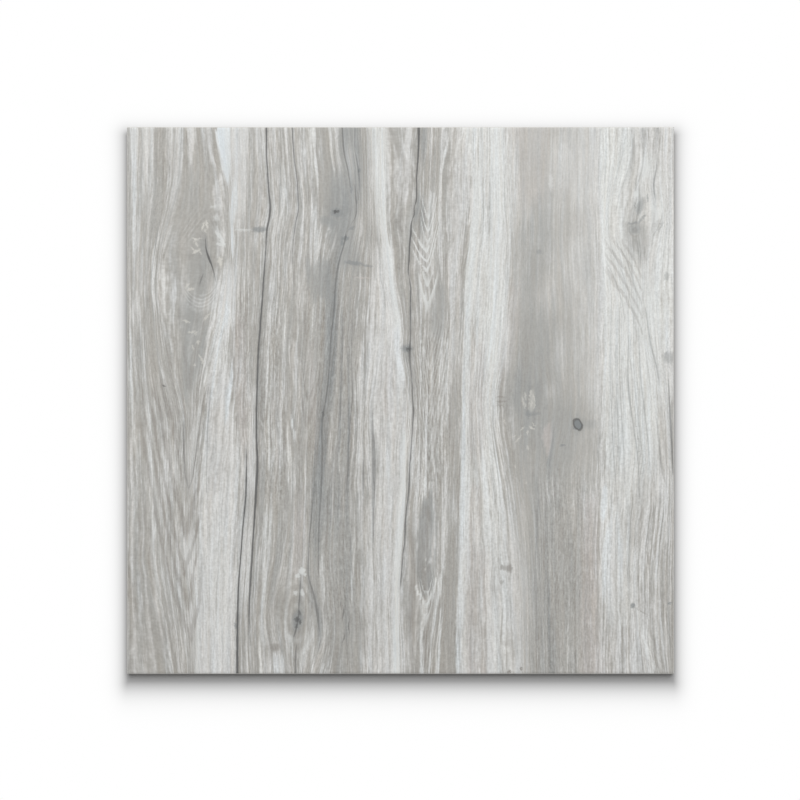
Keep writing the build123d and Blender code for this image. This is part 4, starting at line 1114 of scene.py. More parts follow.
@dataclass
class WoodPrint:
    """The decor of the face: a painted ground, crisp dark lines, fibre contrast and the relief they leave.

    Args:
        ground: Tone of the wood under all strokes.
        lime: Tone of the lime where no stroke sets another.
        cover: Share of the fibres that hold lime where no stroke sets another.
        lime_shares: How far a stroke of lime changes the wood's colour, the lime's and how much there is.
        stain_shares: The same for a stroke of stain.
        ragged_across: How far a fibre's ink may sit off its place, across the grain.
        ragged_along: How far a fibre's ink may start or stop early, along the grain.
        ragged_lengths: Length of the noise's cells for the one and the other.
        fibre_width: Width of a fibre.
        relief_lengths: Length of the long and the short fibres of the relief.
        groove_depth: Depth of a full crack.
        groove_flank: Distance over which a crack's groove runs out.
        line_reach: Distance from a dark line where its ink is sure to have ended.
        grain_depth: Depth of the brushed grain.
        edge_margin: Band along the edges in which the relief fades to a flat rim.
    """

    ground: Tone = Tone.TAUPE
    lime: Tone = Tone.PALE
    cover: float = 0.35
    lime_shares: Triple = (0.2, 1.0, 1.0)
    stain_shares: Triple = (1.0, 0.5, 0.25)
    ragged_across: float = 0.4
    ragged_along: float = 9.0
    ragged_lengths: Pair = (15.0, 43.0)
    fibre_width: float = 1.5
    relief_lengths: Pair = (25.0, 10.0)
    groove_depth: float = 0.28
    groove_flank: float = 1.6
    line_reach: float = 6.0
    grain_depth: float = 0.07
    edge_margin: float = 5.0

    def lay_out(self, half_width: float, half_length: float, columns: int, rows: int) -> FaceGrid:
        """Place the points of the face so that their columns follow the grain.

        Args:
            half_width: Half the width of the face.
            half_length: Half the length of the face.
            columns: About how many columns of faces to make.
            rows: Rows of faces.

        Returns:
            The grid: in each row x is a straight blend between the two nearest guides, and each guide has a
            column of its own.
        """
        straight = np.array([place for place, _ in GUIDES], float)
        counts = np.rint(np.diff(straight) * columns / np.ptp(straight)).astype(int)
        spans = [np.linspace(a, b, n, endpoint=False) for a, b, n in zip(straight, straight[1:], counts)]
        across = np.concatenate([*spans, straight[-1:]])
        y = np.linspace(-half_length, half_length, rows + 1)
        ways = [np.array(points[::-1], float).T for _, points in GUIDES]
        guides = np.array([smooth_curve(y, along, x) for x, along in ways])
        hats = np.array([np.interp(across, straight, unit) for unit in np.eye(len(straight))])
        x = guides.T @ hats * (half_width / straight[-1])
        shape = x.shape
        y = np.broadcast_to(y[:, None], shape)
        across = np.broadcast_to(across, shape)
        length_x, length_y = self.ragged_lengths
        ragged_x = x + self.ragged_across * fibre_noise(across, y, self.fibre_width, length_x, seed=3)
        ragged_y = y + self.ragged_along * fibre_noise(across, y, self.fibre_width, length_y, seed=5)
        return FaceGrid(x, y, across, ragged_x, ragged_y)

    def paint(self, grid: FaceGrid) -> tuple[Array, Array, Array]:
        """Lay the strokes over the ground, one after another.

        Args:
            grid: Points of the face.

        Returns:
            Linear colour of the wood with its 1 for opaque, linear colour of the lime with its share of the
            fibres, and fibre contrast. A stain colours the wood and hides lime; lime fills more fibres.
        """
        wood = np.ones((*grid.x.shape, 4)) * (*self.ground.linear, 1)
        lime = np.ones((*grid.x.shape, 4)) * (*self.lime.linear, self.cover)
        contrast = np.ones(grid.x.shape)
        for stroke in STROKES:
            share = stroke.coverage(grid)
            shares = self.lime_shares if stroke.tone.limed else self.stain_shares
            for layer, taken in zip((wood, lime), shares):
                layer[..., :3] += taken * share[..., None] * (stroke.tone.linear - layer[..., :3])
            lime[..., 3] += shares[2] * share * (stroke.tone.limed - lime[..., 3])
            if stroke.fibre is not None:
                contrast += share / stroke.strength * (stroke.fibre - contrast)
        return wood, lime, contrast

    def lines(self, grid: FaceGrid) -> tuple[Array, Array]:
        """Find the nearest dark line of each point.

        Args:
            grid: Points of the face.

        Returns:
            Way across the line, its half width and its strength, which ends a few millimetres from it; and
            the share of a full groove that it leaves.
        """
        marks = np.zeros((*grid.x.shape, 3))
        nearest = np.full(grid.x.shape, np.inf)
        groove = np.zeros(grid.x.shape)
        for line in DARK_LINES:
            aside, half = line.place(grid)
            distance = np.abs(aside) - half
            strength = line.strength * smoothstep(self.line_reach, self.line_reach / 2, np.abs(aside))
            closer = (distance < nearest)[..., None]
            marks = np.where(closer, np.stack([aside, half, strength], axis=-1), marks)
            nearest = np.minimum(nearest, distance)
            groove = np.maximum(groove, line.deep * smoothstep(self.groove_flank, 0, distance))
        return marks, groove

    def figure(self, grid: FaceGrid) -> Array:
        """Find the growth ring of each point that lies in a V figure or round a knot.

        Args:
            grid: Points of the face.

        Returns:
            Number of the ring, share of lime on it and share of stain beside it, of the clearest figure.
        """
        rings = np.zeros((*grid.x.shape, 3))
        clearest = np.zeros(grid.x.shape)
        for figure in FIGURES:
            number, shown = figure.rings(grid)
            clearer = (shown > clearest)[..., None]
            ring = np.stack([number, figure.light * shown, figure.dark * shown], axis=-1)
            rings = np.where(clearer, ring, rings)
            clearest = np.maximum(clearest, shown)
        return rings

    def relief(self, grid: FaceGrid, groove: Array, contrast: Array) -> Array:
        """Depth of the pressed relief under the flat rim of the face.

        Args:
            grid: Points of the face.
            groove: Share of a full groove at each point.
            contrast: Fibre contrast at each point.

        Returns:
            Depth in millimetres: grooves along the cracks plus brushed fibres, both faded out at the edges.
        """
        long_length, short_length = self.relief_lengths
        fibres = fibre_noise(grid.across, grid.y, self.fibre_width, long_length, seed=7)
        fibres = fibres + fibre_noise(grid.across, grid.y, self.fibre_width, short_length, seed=11)
        depth = self.groove_depth * groove + self.grain_depth * contrast * (0.5 + 0.25 * fibres)
        inside = np.minimum(np.ptp(grid.x) / 2 - np.abs(grid.x), np.ptp(grid.y) / 2 - np.abs(grid.y))
        return depth * smoothstep(0, self.edge_margin, inside)


@dataclass(frozen=True)
class BakeLayout:
    """Where each surface lies on the square map that finishes are baked to.

    Args:
        face: Side of the decorated face's patch.
        back: Side of the back's patch.
        edge: Height of each edge's strip.
        gap: Gap between patches.
    """

    face: float = 0.80
    back: float = 0.17
    edge: float = 0.03
    gap: float = 0.006

    def on_face(self, x: Array, y: Array) -> Array:
        """Map the face, given as shares from -1 to 1, to its patch."""
        return self.gap + self.face * (np.stack([x, y], axis=-1) + 1) / 2

    def on_back(self, x: Array, y: Array) -> Array:
        """Map the back, given as shares from -1 to 1, to its patch beside the face."""
        corner = np.array([self.face + 2 * self.gap, self.gap])
        return corner + self.back * (np.stack([x, y], axis=-1) + 1) / 2

    def on_edge(self, side: int, along: Array, drop: Array) -> Array:
        """Map an edge to its strip above the face: along it and down its profile, as shares from 0 to 1."""
        base = self.face + 2 * self.gap + side * (self.edge + self.gap)
        return np.stack([self.gap + self.face * along, base + self.edge * (1 - drop)], axis=-1)


class Wire:
    """A node's output, with arithmetic: each operator adds one Math node."""

    def __init__(self, graph: "Graph", socket: bpy.types.NodeSocket) -> None:
        """Keep the socket and the graph that it belongs to."""
        self.graph = graph
        self.socket = socket

    def __add__(self, other: "Value") -> "Wire":
        """Sum."""
        return self.graph.math("ADD", self, other)

    def __sub__(self, other: "Value") -> "Wire":
        """Difference."""
        return self.graph.math("SUBTRACT", self, other)

    def __rsub__(self, other: "Value") -> "Wire":
        """Difference from a number."""
        return self.graph.math("SUBTRACT", other, self)

    def __mul__(self, other: "Value") -> "Wire":
        """Product."""
        return self.graph.math("MULTIPLY", self, other)

    def __abs__(self) -> "Wire":
        """Size without sign."""
        return self.graph.math("ABSOLUTE", self, 0.0)

    __radd__ = __add__
    __rmul__ = __mul__


Value = Wire | float | tuple[float, ...]


class Graph:
    """The node graph of one material, or of the light from all round."""

    def __init__(self, owner: bpy.types.Material | bpy.types.World) -> None:
        """Start an empty graph in a material or a world."""
        owner.use_nodes = True
        self.owner = owner
        self.tree = owner.node_tree
        self.tree.nodes.clear()

    def node(
        self, kind: str, settings: dict[str, object], inputs: dict[str | int, Value],
        output: str | int | None = 0,
    ) -> Wire | None:
        """Add a node.

        Args:
            kind: Type of the node.
            settings: The node's own settings, which are set first.
            inputs: Value or wire for each socket, by name or number.
            output: The output to return, if the node has one.

        Returns:
            A wire from that output.
        """
        node = self.tree.nodes.new(kind)
        for name, value in settings.items():
            setattr(node, name, value)
        for key, value in inputs.items():
            if isinstance(value, Wire):
                self.tree.links.new(value.socket, node.inputs[key])
            else:
                node.inputs[key].default_value = value
        return None if output is None else Wire(self, node.outputs[output])

    def math(self, operation: str, first: Value, second: Value) -> Wire:
        """Add a Math node with two inputs."""
        return self.node("ShaderNodeMath", {"operation": operation}, {0: first, 1: second})

    def attribute(self, name: str, output: str) -> Wire:
        """Read one of the mesh's own attributes."""
        return self.node("ShaderNodeAttribute", {"attribute_name": name}, {}, output)

    def place(self) -> Wire:
        """Read the place in the object's own space, in metres."""
        return self.node("ShaderNodeTexCoord", {}, {}, "Object")

    def split(self, vector: Wire) -> tuple[Wire, Wire, Wire]:
        """Take a vector apart."""
        parts = self.node("ShaderNodeSeparateXYZ", {}, {0: vector}).socket.node.outputs
        return Wire(self, parts[0]), Wire(self, parts[1]), Wire(self, parts[2])

    def join(self, x: Value, y: Value, z: Value) -> Wire:
        """Put three values together as a vector or a colour."""
        return self.node("ShaderNodeCombineXYZ", {}, {0: x, 1: y, 2: z})

    def noise(self, place: Wire, detail: float = 2.0, roughness: float = 0.5) -> Wire:
        """Add noise of about one wave per unit of place, centred on 0."""
        inputs = {"Vector": place, "Scale": 1.0, "Detail": detail, "Roughness": roughness}
        return self.node("ShaderNodeTexNoise", {}, inputs) - 0.5

    def ease(self, value: Wire, low: Value, high: Value, top: float = 1.0) -> Wire:
        """Ease from 0 at low to the top at high."""
        settings = {"interpolation_type": "SMOOTHSTEP", "clamp": False}
        inputs = {"Value": value, "From Min": low, "From Max": high, "To Max": top}
        return self.node("ShaderNodeMapRange", settings, inputs)

    def dot(self, vector: Wire, weights: Triple) -> Wire:
        """Add up a vector's parts by their weights."""
        inputs = {0: vector, 1: weights}
        return self.node("ShaderNodeVectorMath", {"operation": "DOT_PRODUCT"}, inputs, "Value")

    def vector(self, operation: str, *inputs: Value) -> Wire:
        """Add a Vector Math node that returns a vector."""
        return self.node("ShaderNodeVectorMath", {"operation": operation}, dict(enumerate(inputs)))

    def mix(self, share: Value, under: Value, over: Value, blend: str = "MIX") -> Wire:
        """Lay one colour over another."""
        settings = {"data_type": "RGBA", "blend_type": blend}
        return self.node("ShaderNodeMix", settings, {0: share, 6: under, 7: over}, 2)

    def ink(self, share: Value, colour: Value, tone: Tone) -> Wire:
        """Lay a tone of the print over a colour."""
        return self.mix(share, colour, opaque(tone.value))

    def shade(self, colour: Wire, gain: Wire) -> Wire:
        """Multiply a colour by one gain."""
        return self.mix(1.0, colour, self.join(gain, gain, gain), "MULTIPLY")

    def bump(self, strength: float, depth: float, height: Wire) -> Wire:
        """Turn the light by a relief of some depth, in millimetres."""
        inputs = {"Strength": strength, "Distance": depth * MM, "Height": height}
        return self.node("ShaderNodeBump", {}, inputs)

    def finish(self, settings: dict[str, Value]) -> bpy.types.Material:
        """Close the graph with a Principled shader.

        Args:
            settings: Value or wire for each of the shader's sockets.

        Returns:
            The finished material.
        """
        return self.close(self.node("ShaderNodeBsdfPrincipled", {}, settings))

    def close(self, shader: Wire, output: str = "ShaderNodeOutputMaterial") -> bpy.types.ID:
        """Link a shader to the graph's output and return the graph's owner."""
        self.node(output, {}, {"Surface": shader}, None)
        return self.owner


class Pattern(Enum):
    """Noises of the print: waves per millimetre across and along the grain, slice and detail."""

    SWAY = (0.06, 0.014, 5.0, 1.0)
    HUE = (0.22, 0.012, 45.0, 2.0)
    CLOUDS = (0.05, 0.022, 47.0, 2.0)
    PATCHES = (0.18, 0.05, 49.0, 2.0)
    LONG_STREAKS = (0.36, 0.0016, 51.0, 1.0)
    STREAKS = (0.45, 0.012, 57.0, 1.0)
    SHORT_STREAKS = (0.95, 0.06, 63.0, 1.0)
    BREAKS = (0.5, 0.06, 81.0, 2.0)
    BENDS = (0.07, 0.03, 91.0, 2.0)
    DASHES = (0.45, 0.1, 87.0, 1.0)
    PORES = (0.8, 0.07, 71.0, 1.0)
    SEAMS = (0.16, 0.004, 73.0, 1.0)
    SPECKS = (0.7, 0.45, 75.0, 1.0)
    FRAYS = (0.7, 0.12, 31.0, 1.0)


class GrainGraph(Graph):
    """The graph of the printed glaze, with the grain that its noises follow."""

    def __init__(self, name: str, sway: float) -> None:
        """Start the graph and read the grain.

        Args:
            name: Name of the material.
            sway: How far the fibres sway from side to side, in millimetres.
        """
        super().__init__(bpy.data.materials.new(name))
        self.across, self.along, self.contrast = self.split(self.attribute("grain", "Vector"))
        self.across = self.across + self.pattern(Pattern.SWAY) * sway

    def pattern(self, pattern: Pattern) -> Wire:
        """Read one of the print's noises on the grain, centred on 0."""
        across, along, depth, detail = pattern.value
        return self.noise(self.join(self.across * across, self.along * along, depth), detail)


@dataclass(frozen=True)
class PrintedGlaze:
    """Matte glaze with the wood print: limed wood, rings, pores, flecks, dark lines and the ring knot.

    Args:
        long_fibres: Width, length, softness of the edges and contrast of each layer of long fibres.
        short_fibres: The same for short fibres, which also show where the wood is smooth.
        layer_gap: Distance between the slices of noise of two layers of fibres.
        sway: How far the fibres sway from side to side, in millimetres.
        tint: How strongly red, green and blue follow the fibres: pale ones lean to blue, dark to brown.
        warmth: How far red, green and blue drift where some fibres are rosier than others.
        cloud: Strength of the cloudiness.
        wash: Gain of the whole print, which makes up for the dark pores and seams.
        streak_shares: Shares of the long, middle and short streaks of lime.
        streak_step: Value of the streaks' noise at which a streak is full.
        blur: Softness of the lime's edges on smooth wood, and how much of it fibres take away.
        cover_range: Lime's cover where a stroke has none of it, and how much a full stroke adds.
        dash_share: Strength of the limed dashes on coarse wood.
        pore_share: Strength of the pores.
        seam_share: Strength of the seams between bundles of fibres.
        speck_share: Strength of the specks.
        bleed_reach: How far a dark line's ink bleeds, in millimetres.
        bleed_share: Strength of the bled ink.
        rim_share: Strength of the ring knot's rim.
        roughness: Roughness of the fired glaze.
        specular: Specular level of the matte surface.
        fray: How far noise moves the outline of a fleck, in millimetres.
        fray_scale: Waves per millimetre of that noise.
        bump: Depth of the brushed fibres, in millimetres.
        bump_share: How strongly they turn the light.
    """

    long_fibres: Points = ((7.0, 300.0, 0.3, 0.08), (3.2, 120.0, 0.18, 0.12))
    short_fibres: Points = ((2.0, 34.0, 0.2, 0.12), (1.6, 6.0, 0.22, 0.15), (2.2, 2.4, 0.22, 0.12))
    layer_gap: float = 17.0
    sway: float = 5.0
    tint: Triple = (0.97, 1.0, 1.06)
    warmth: Triple = (0.09, 0.0, -0.1)
    cloud: float = 0.12
    wash: float = 1.018
    streak_shares: Triple = (0.5, 0.4, 0.4)
    streak_step: float = 0.2
    blur: Pair = (0.8, 0.4)
    cover_range: Pair = (0.1, 0.8)
    dash_share: float = 0.6
    pore_share: float = 0.25
    seam_share: float = 0.22
    speck_share: float = 0.3
    bleed_reach: float = 4.0
    bleed_share: float = 0.16
    rim_share: float = 0.75
    roughness: float = 0.55
    specular: float = 0.3
    fray: float = 5.0
    fray_scale: float = 0.4
    bump: float = 0.12
    bump_share: float = 0.6

    def fibres(self, graph: GrainGraph) -> Wire:
        """Add up the layers of fibres.

        Args:
            graph: Graph of the material.

        Returns:
            The eased noises, centred on 0, times the fibre contrast, which counts twice for long ones.
        """
        total = 0.0
        for layer, (width, length, crisp, share) in enumerate(self.long_fibres + self.short_fibres):
            depth = self.layer_gap * layer
            place = graph.join(graph.across * (1 / width), graph.along * (1 / length), depth)
            fibre = graph.ease(graph.noise(place), -crisp, crisp) * share - 0.5 * share
            total = fibre * (graph.contrast if layer < len(self.long_fibres) else 1.0) + total
        return total * graph.contrast

    def limed_wood(self, graph: GrainGraph, fibres: Wire) -> Wire:
        """Lay the lime into the wood, and shade both.

        Args:
            graph: Graph of the material.
            fibres: Light and dark of the fibres.

        Returns:
            Lime where its cover is above the streaks' noise, else wood, times fibres, hues and clouds.
        """
        hue = graph.pattern(Pattern.HUE)
        clouds = graph.pattern(Pattern.CLOUDS) * self.cloud + self.wash
        clouds = clouds + graph.pattern(Pattern.PATCHES) * self.cloud
        gains = [clouds + fibres * share + hue * warm for share, warm in zip(self.tint, self.warmth)]
        blur = self.blur[0] - graph.contrast * self.blur[1]
        streaks = 0.0
        patterns = (Pattern.LONG_STREAKS, Pattern.STREAKS, Pattern.SHORT_STREAKS)
        for pattern, share in zip(patterns, self.streak_shares):
            streaks = graph.pattern(pattern) * share + streaks
        streaks = graph.ease(streaks, -self.streak_step, self.streak_step) - 0.5
        streaks = 0.5 + streaks * graph.math("MINIMUM", graph.contrast, 1.0)
        cover = self.cover_range[0] + graph.attribute("lime", "Alpha") * self.cover_range[1]
        filled = cover * (1 + 2 * blur) - blur - streaks
        limed = graph.ease(filled, -1.0 * blur, blur)
        colour = graph.mix(limed, graph.attribute("wood", "Color"), graph.attribute("lime", "Color"))
        return graph.mix(1.0, colour, graph.join(*gains), "MULTIPLY")

    def growth_rings(self, graph: GrainGraph, colour: Wire, breaks: Wire) -> Wire:
        """Lay the growth rings of the figures and the limed dashes over a colour.

        Args:
            graph: Graph of the material.
            colour: Colour under them.
            breaks: Noise that breaks the rings up.

        Returns:
            The colour with lime on the rings and stain between them: a cosine of the bent ring number.
        """
        number, light, dark = graph.split(graph.attribute("rings", "Vector"))
        bends = graph.pattern(Pattern.BENDS)
        wave = graph.math("COSINE", (number + breaks * 0.3 + bends * 0.8) * (2 * math.pi), 0.0)
        whole = graph.ease(breaks + bends * 0.6 + light * 0.25, -0.18, 0.16)
        colour = graph.ink(graph.ease(wave, 0.35, 0.85) * whole * light, colour, Tone.LIME)
        colour = graph.ink(graph.ease(wave, 0.0, -0.8) * dark, colour, Tone.BARK)
        coarse = graph.ease(graph.contrast, 1.0, 1.6)
        dashes = graph.ease(graph.pattern(Pattern.DASHES), 0.06, 0.2) * coarse * self.dash_share
        return graph.ink(dashes, colour, Tone.LIME)

    def dark_fibres(self, graph: GrainGraph, colour: Wire, breaks: Wire) -> Wire:
        """Lay pores, seams and specks over a colour.

        Args:
            graph: Graph of the material.
            colour: Colour under them.
            breaks: Noise that breaks the seams up.

        Returns:
            The colour with stain where a noise is high, or near 0 for the seams.
        """
        contrast = graph.contrast
        pores = graph.ease(graph.pattern(Pattern.PORES), 0.12, 0.30) * contrast * self.pore_share
        seams = graph.ease(abs(graph.pattern(Pattern.SEAMS)), 0.09, 0.0) * contrast * contrast
        seams = seams * graph.ease(breaks, -0.2, 0.1) * self.seam_share
        specks = graph.ease(graph.pattern(Pattern.SPECKS), 0.16, 0.32) * contrast * self.speck_share
        for share in (pores, seams, specks):
            colour = graph.ink(share, colour, Tone.BARK)
        return colour

    def spatter(self, graph: GrainGraph, colour: Wire) -> Wire:
        """Lay the flecks over a colour.

        Args:
            graph: Graph of the material.
            colour: Colour under the flecks.

        Returns:
            The colour with the flecks of each tone on it: turned ellipses in millimetres of the tile, their
            outlines frayed.
        """
        place = graph.vector("MULTIPLY_ADD", graph.place(), (1 / MM, 1 / MM, 0), (0, 0, 1))
        inputs = {"Vector": place, "Scale": self.fray_scale, "Detail": 2.0}
        noise = graph.node("ShaderNodeTexNoise", {}, inputs, "Color")
        place = graph.vector("MULTIPLY_ADD", noise, (self.fray, self.fray, 0), place)
        shares: dict[Tone, Wire] = {}
        for fleck in FLECKS:
            aside, up = (graph.dot(place, weights) for weights in fleck.weights(self.fray / 2))
            radius = aside * aside + up * up
            share = graph.ease(radius, (1 + fleck.soft / 2) ** 2, (1 - fleck.soft) ** 2, fleck.strength)
            if fleck.tone in shares:
                share = graph.math("MAXIMUM", shares[fleck.tone], share)
            shares[fleck.tone] = share
        for tone in Tone:
            if tone in shares:
                colour = graph.ink(shares[tone], colour, tone)
        return colour

    def dark_lines(self, graph: GrainGraph, colour: Wire, breaks: Wire) -> tuple[Wire, Wire]:
        """Lay the dark lines and the ring knot over a colour.

        Args:
            graph: Graph of the material.
            colour: Colour under them.
            breaks: Noise that bends the knot's rim.

        Returns:
            The colour with ink inside each line's frayed half width, bled ink beside it and the knot's
            heart and rim; and the share of the lines' ink.
        """
        aside, half, strength = graph.split(graph.attribute("marks", "Vector"))
        rim = graph.attribute("rim", "Fac")
        frayed = abs(aside) - half + graph.pattern(Pattern.FRAYS) * 0.9
        bleed = graph.ease(frayed, self.bleed_reach, 0.0) * strength * self.bleed_share
        inked = graph.ease(frayed, 0.6, -0.7) * strength
        ring = graph.ease(abs(rim + breaks * 2.0), 1.7, 0.3) * self.rim_share
        colour = graph.ink(bleed, colour, Tone.SLATE)
        colour = graph.ink(inked, colour, Tone.CHARCOAL)
        colour = graph.ink(graph.ease(rim, 0.6, -1.2), colour, Tone.SLATE)
        return graph.ink(ring, colour, Tone.CHARCOAL), inked

    def material(self) -> bpy.types.Material:
        """Make the material.

        Returns:
            Limed wood, then growth rings, dark fibres, flecks and dark lines over it, on brushed fibres.
        """
        graph = GrainGraph("printed_glaze", self.sway)
        breaks = graph.pattern(Pattern.BREAKS)
        fibres = self.fibres(graph)
        colour = self.limed_wood(graph, fibres)
        colour = self.growth_rings(graph, colour, breaks)
        colour = self.dark_fibres(graph, colour, breaks)
        colour = self.spatter(graph, colour)
        colour, inked = self.dark_lines(graph, colour, breaks)
        normal = graph.bump(self.bump_share, self.bump, fibres * 0.5 - inked)
        return graph.finish({
            "Base Color": colour,
            "Roughness": self.roughness + fibres * 0.2,
            "Specular IOR Level": self.specular,
            "Normal": normal,
        })


@dataclass(frozen=True)
class GroundBody:
    """Fired body where the edge was ground: fine speckle, wheel marks along it and the thin glaze line.

    Args:
        body: Display values of the body.
        speck: Display values of the dark grains in it.
        glaze: Display values of the glaze line under the face.
        glaze_line: Thickness of the glaze, in millimetres.
        glaze_soft: Half the depth over which the glaze line ends, in millimetres.
        speck_waves: Waves of the speckle per metre along x, y and z.
        wheel_waves: The same of the wheel marks, which are thin across the edge.
        cloud_waves: The same of the cloudiness.
        roughness: Roughness of the ground body.
        specular: Specular level of the ground body.
        bump: Depth of the wheel marks, in millimetres.
    """

    body: Triple = (181, 176, 167)
    speck: Triple = (146, 139, 130)
    glaze: Triple = (214, 213, 208)
    glaze_line: float = 0.5
    glaze_soft: float = 0.12
    speck_waves: Triple = (1400.0, 1400.0, 1400.0)
    wheel_waves: Triple = (40.0, 40.0, 4200.0)
    cloud_waves: Triple = (30.0, 30.0, 60.0)
    roughness: float = 0.72
    specular: float = 0.3
    bump: float = 0.05

    def material(self, top: float) -> bpy.types.Material:
        """Make the material.

        Args:
            top: Height of the decorated face, in metres.

        Returns:
            Body colour with specks and wheel marks, and the glaze line measured down from the face.
        """
        graph = Graph(bpy.data.materials.new("ground_body"))
        _, _, height = graph.split(graph.place())
        specks = graph.noise(graph.vector("MULTIPLY", graph.place(), self.speck_waves))
        marks = graph.noise(graph.vector("MULTIPLY", graph.place(), self.wheel_waves))
        cloud = graph.noise(graph.vector("MULTIPLY", graph.place(), self.cloud_waves), 1.0)
        colour = graph.mix(graph.ease(specks, 0.05, 0.22), opaque(self.body), opaque(self.speck))
        colour = graph.shade(colour, 1 + marks * 0.16 + cloud * 0.12)
        depth = (top - height) * (1 / MM) + cloud * 0.25
        line = graph.ease(depth, self.glaze_line + self.glaze_soft, self.glaze_line - self.glaze_soft)
        return graph.finish({
            "Base Color": graph.mix(line, colour, opaque(self.glaze)),
            "Roughness": self.roughness + marks * 0.2,
            "Specular IOR Level": self.specular,
            "Normal": graph.bump(0.5, self.bump, marks + specks * 0.4),
        })


@dataclass(frozen=True)
class PressedBack:
    """Unglazed back as it left the press: sandy speckle, and pale release wash rubbed onto the ribs.

    Args:
        body: Display values of the body.
        speck: Display values of the dark grains in it.
        wash: Display values of the release wash.
        wash_share: Strength of the wash where it is thickest.
        speck_waves: Waves of the speckle per metre along x, y and z.
        cloud_waves: The same of the cloudiness.
        roughness: Roughness of the unglazed body.
        specular: Specular level of the unglazed body.
        bump: Depth of the sandy grain, in millimetres.
    """

    body: Triple = (172, 165, 154)
    speck: Triple = (132, 124, 114)
    wash: Triple = (214, 211, 203)
    wash_share: float = 0.6
    speck_waves: Triple = (900.0, 900.0, 900.0)
    cloud_waves: Triple = (18.0, 18.0, 18.0)
    roughness: float = 0.88
    specular: float = 0.2
    bump: float = 0.12

    def material(self, key_depth: float) -> bpy.types.Material:
        """Make the material.

        Args:
            key_depth: Height of the pockets' floors above the ribs, in metres.

        Returns:
            Body colour with specks and clouds, and a patchy wash that is thickest on the ribs.
        """
        graph = Graph(bpy.data.materials.new("pressed_back"))
        _, _, height = graph.split(graph.place())
        specks = graph.noise(graph.vector("MULTIPLY", graph.place(), self.speck_waves))
        cloud = graph.noise(graph.vector("MULTIPLY", graph.place(), self.cloud_waves), 3.0)
        colour = graph.mix(graph.ease(specks, 0.05, 0.24), opaque(self.body), opaque(self.speck))
        colour = graph.shade(colour, 1 + cloud * 0.22)
        rib = graph.ease(height, key_depth * 0.5, 0.0)
        wash = rib * graph.ease(cloud + specks * 0.5, -0.12, 0.16) * self.wash_share
        return graph.finish({
            "Base Color": graph.mix(wash, colour, opaque(self.wash)),
            "Roughness": self.roughness + cloud * 0.1,
            "Specular IOR Level": self.specular,
            "Normal": graph.bump(0.7, self.bump, specks + cloud),
        })


class Surface(Enum):
    """Finishes of the tile, in the order of its material slots."""

    FACE = 0
    EDGE = 1
    BACK = 2


@dataclass
class MeshParts:
    """Faces gathered for one mesh, with the finish and the place on the baked map of each.

    Args:
        faces: Vertex numbers of each face.
        surfaces: Finish of each face.
        corners: Place on the baked map of each corner, face by face.
    """

    faces: list[list[int]]
    surfaces: list[int]
    corners: list[Array]

    def add(self, faces: Array, surface: Surface, corners: Array) -> None:
        """Add faces of one finish.

        Args:
            faces: Vertex numbers, one row a face.
            surface: Their finish.
            corners: Place on the baked map of each corner of each face.
        """
        self.faces += faces.tolist()
        self.surfaces += [surface.value] * len(faces)
        self.corners.append(corners.reshape(-1, 2))


def grid_rim(first: int, rows: int, columns: int) -> list[Array]:
    """Number the points along the four sides of a grid.

    Args:
        first: Number of the grid's first point.
        rows: Points along y.
        columns: Points along x.

    Returns:
        Near, right, far and left side, each from corner to corner, anticlockwise seen from above.
    """
    number = first + np.arange(rows * columns).reshape(rows, columns)
    return [number[0], number[:, -1], number[-1, ::-1], number[::-1, 0]]


def zip_strip(
    upper: Array, upper_place: Array, lower: Array, lower_place: Array
) -> tuple[Array, Array, Array]:
    """Join two rows of points of different counts with triangles.

    Args:
        upper: Point numbers of the upper row.
        upper_place: Rising places of the upper row, from 0 to 1.
        lower: Point numbers of the lower row.
        lower_place: Rising places of the lower row, from 0 to 1.

    Returns:
        Triangles, the place along the strip of each corner, and whether each corner is on the lower row.
        All steps of both rows are sorted by where they end, and each step makes a triangle with the point
        that the other row has reached.
    """
    ends = np.concatenate([upper_place[1:], lower_place[1:]])
    on_upper = np.arange(len(ends)) < len(upper) - 1
    on_upper = on_upper[np.argsort(ends, kind="stable")]
    i = np.cumsum(on_upper) - on_upper
    j = np.cumsum(~on_upper) - ~on_upper
    step_upper = np.minimum(i + 1, len(upper) - 1)
    step_lower = np.minimum(j + 1, len(lower) - 1)
    third = np.where(on_upper, upper[step_upper], lower[step_lower])
    third_place = np.where(on_upper, upper_place[step_upper], lower_place[step_lower])
    triangles = np.stack([upper[i], lower[j], third], axis=1)
    places = np.stack([upper_place[i], lower_place[j], third_place], axis=1)
    is_lower = np.stack([np.zeros(len(i), bool), np.ones(len(i), bool), ~on_upper], axis=1)
    return triangles, places, is_lower


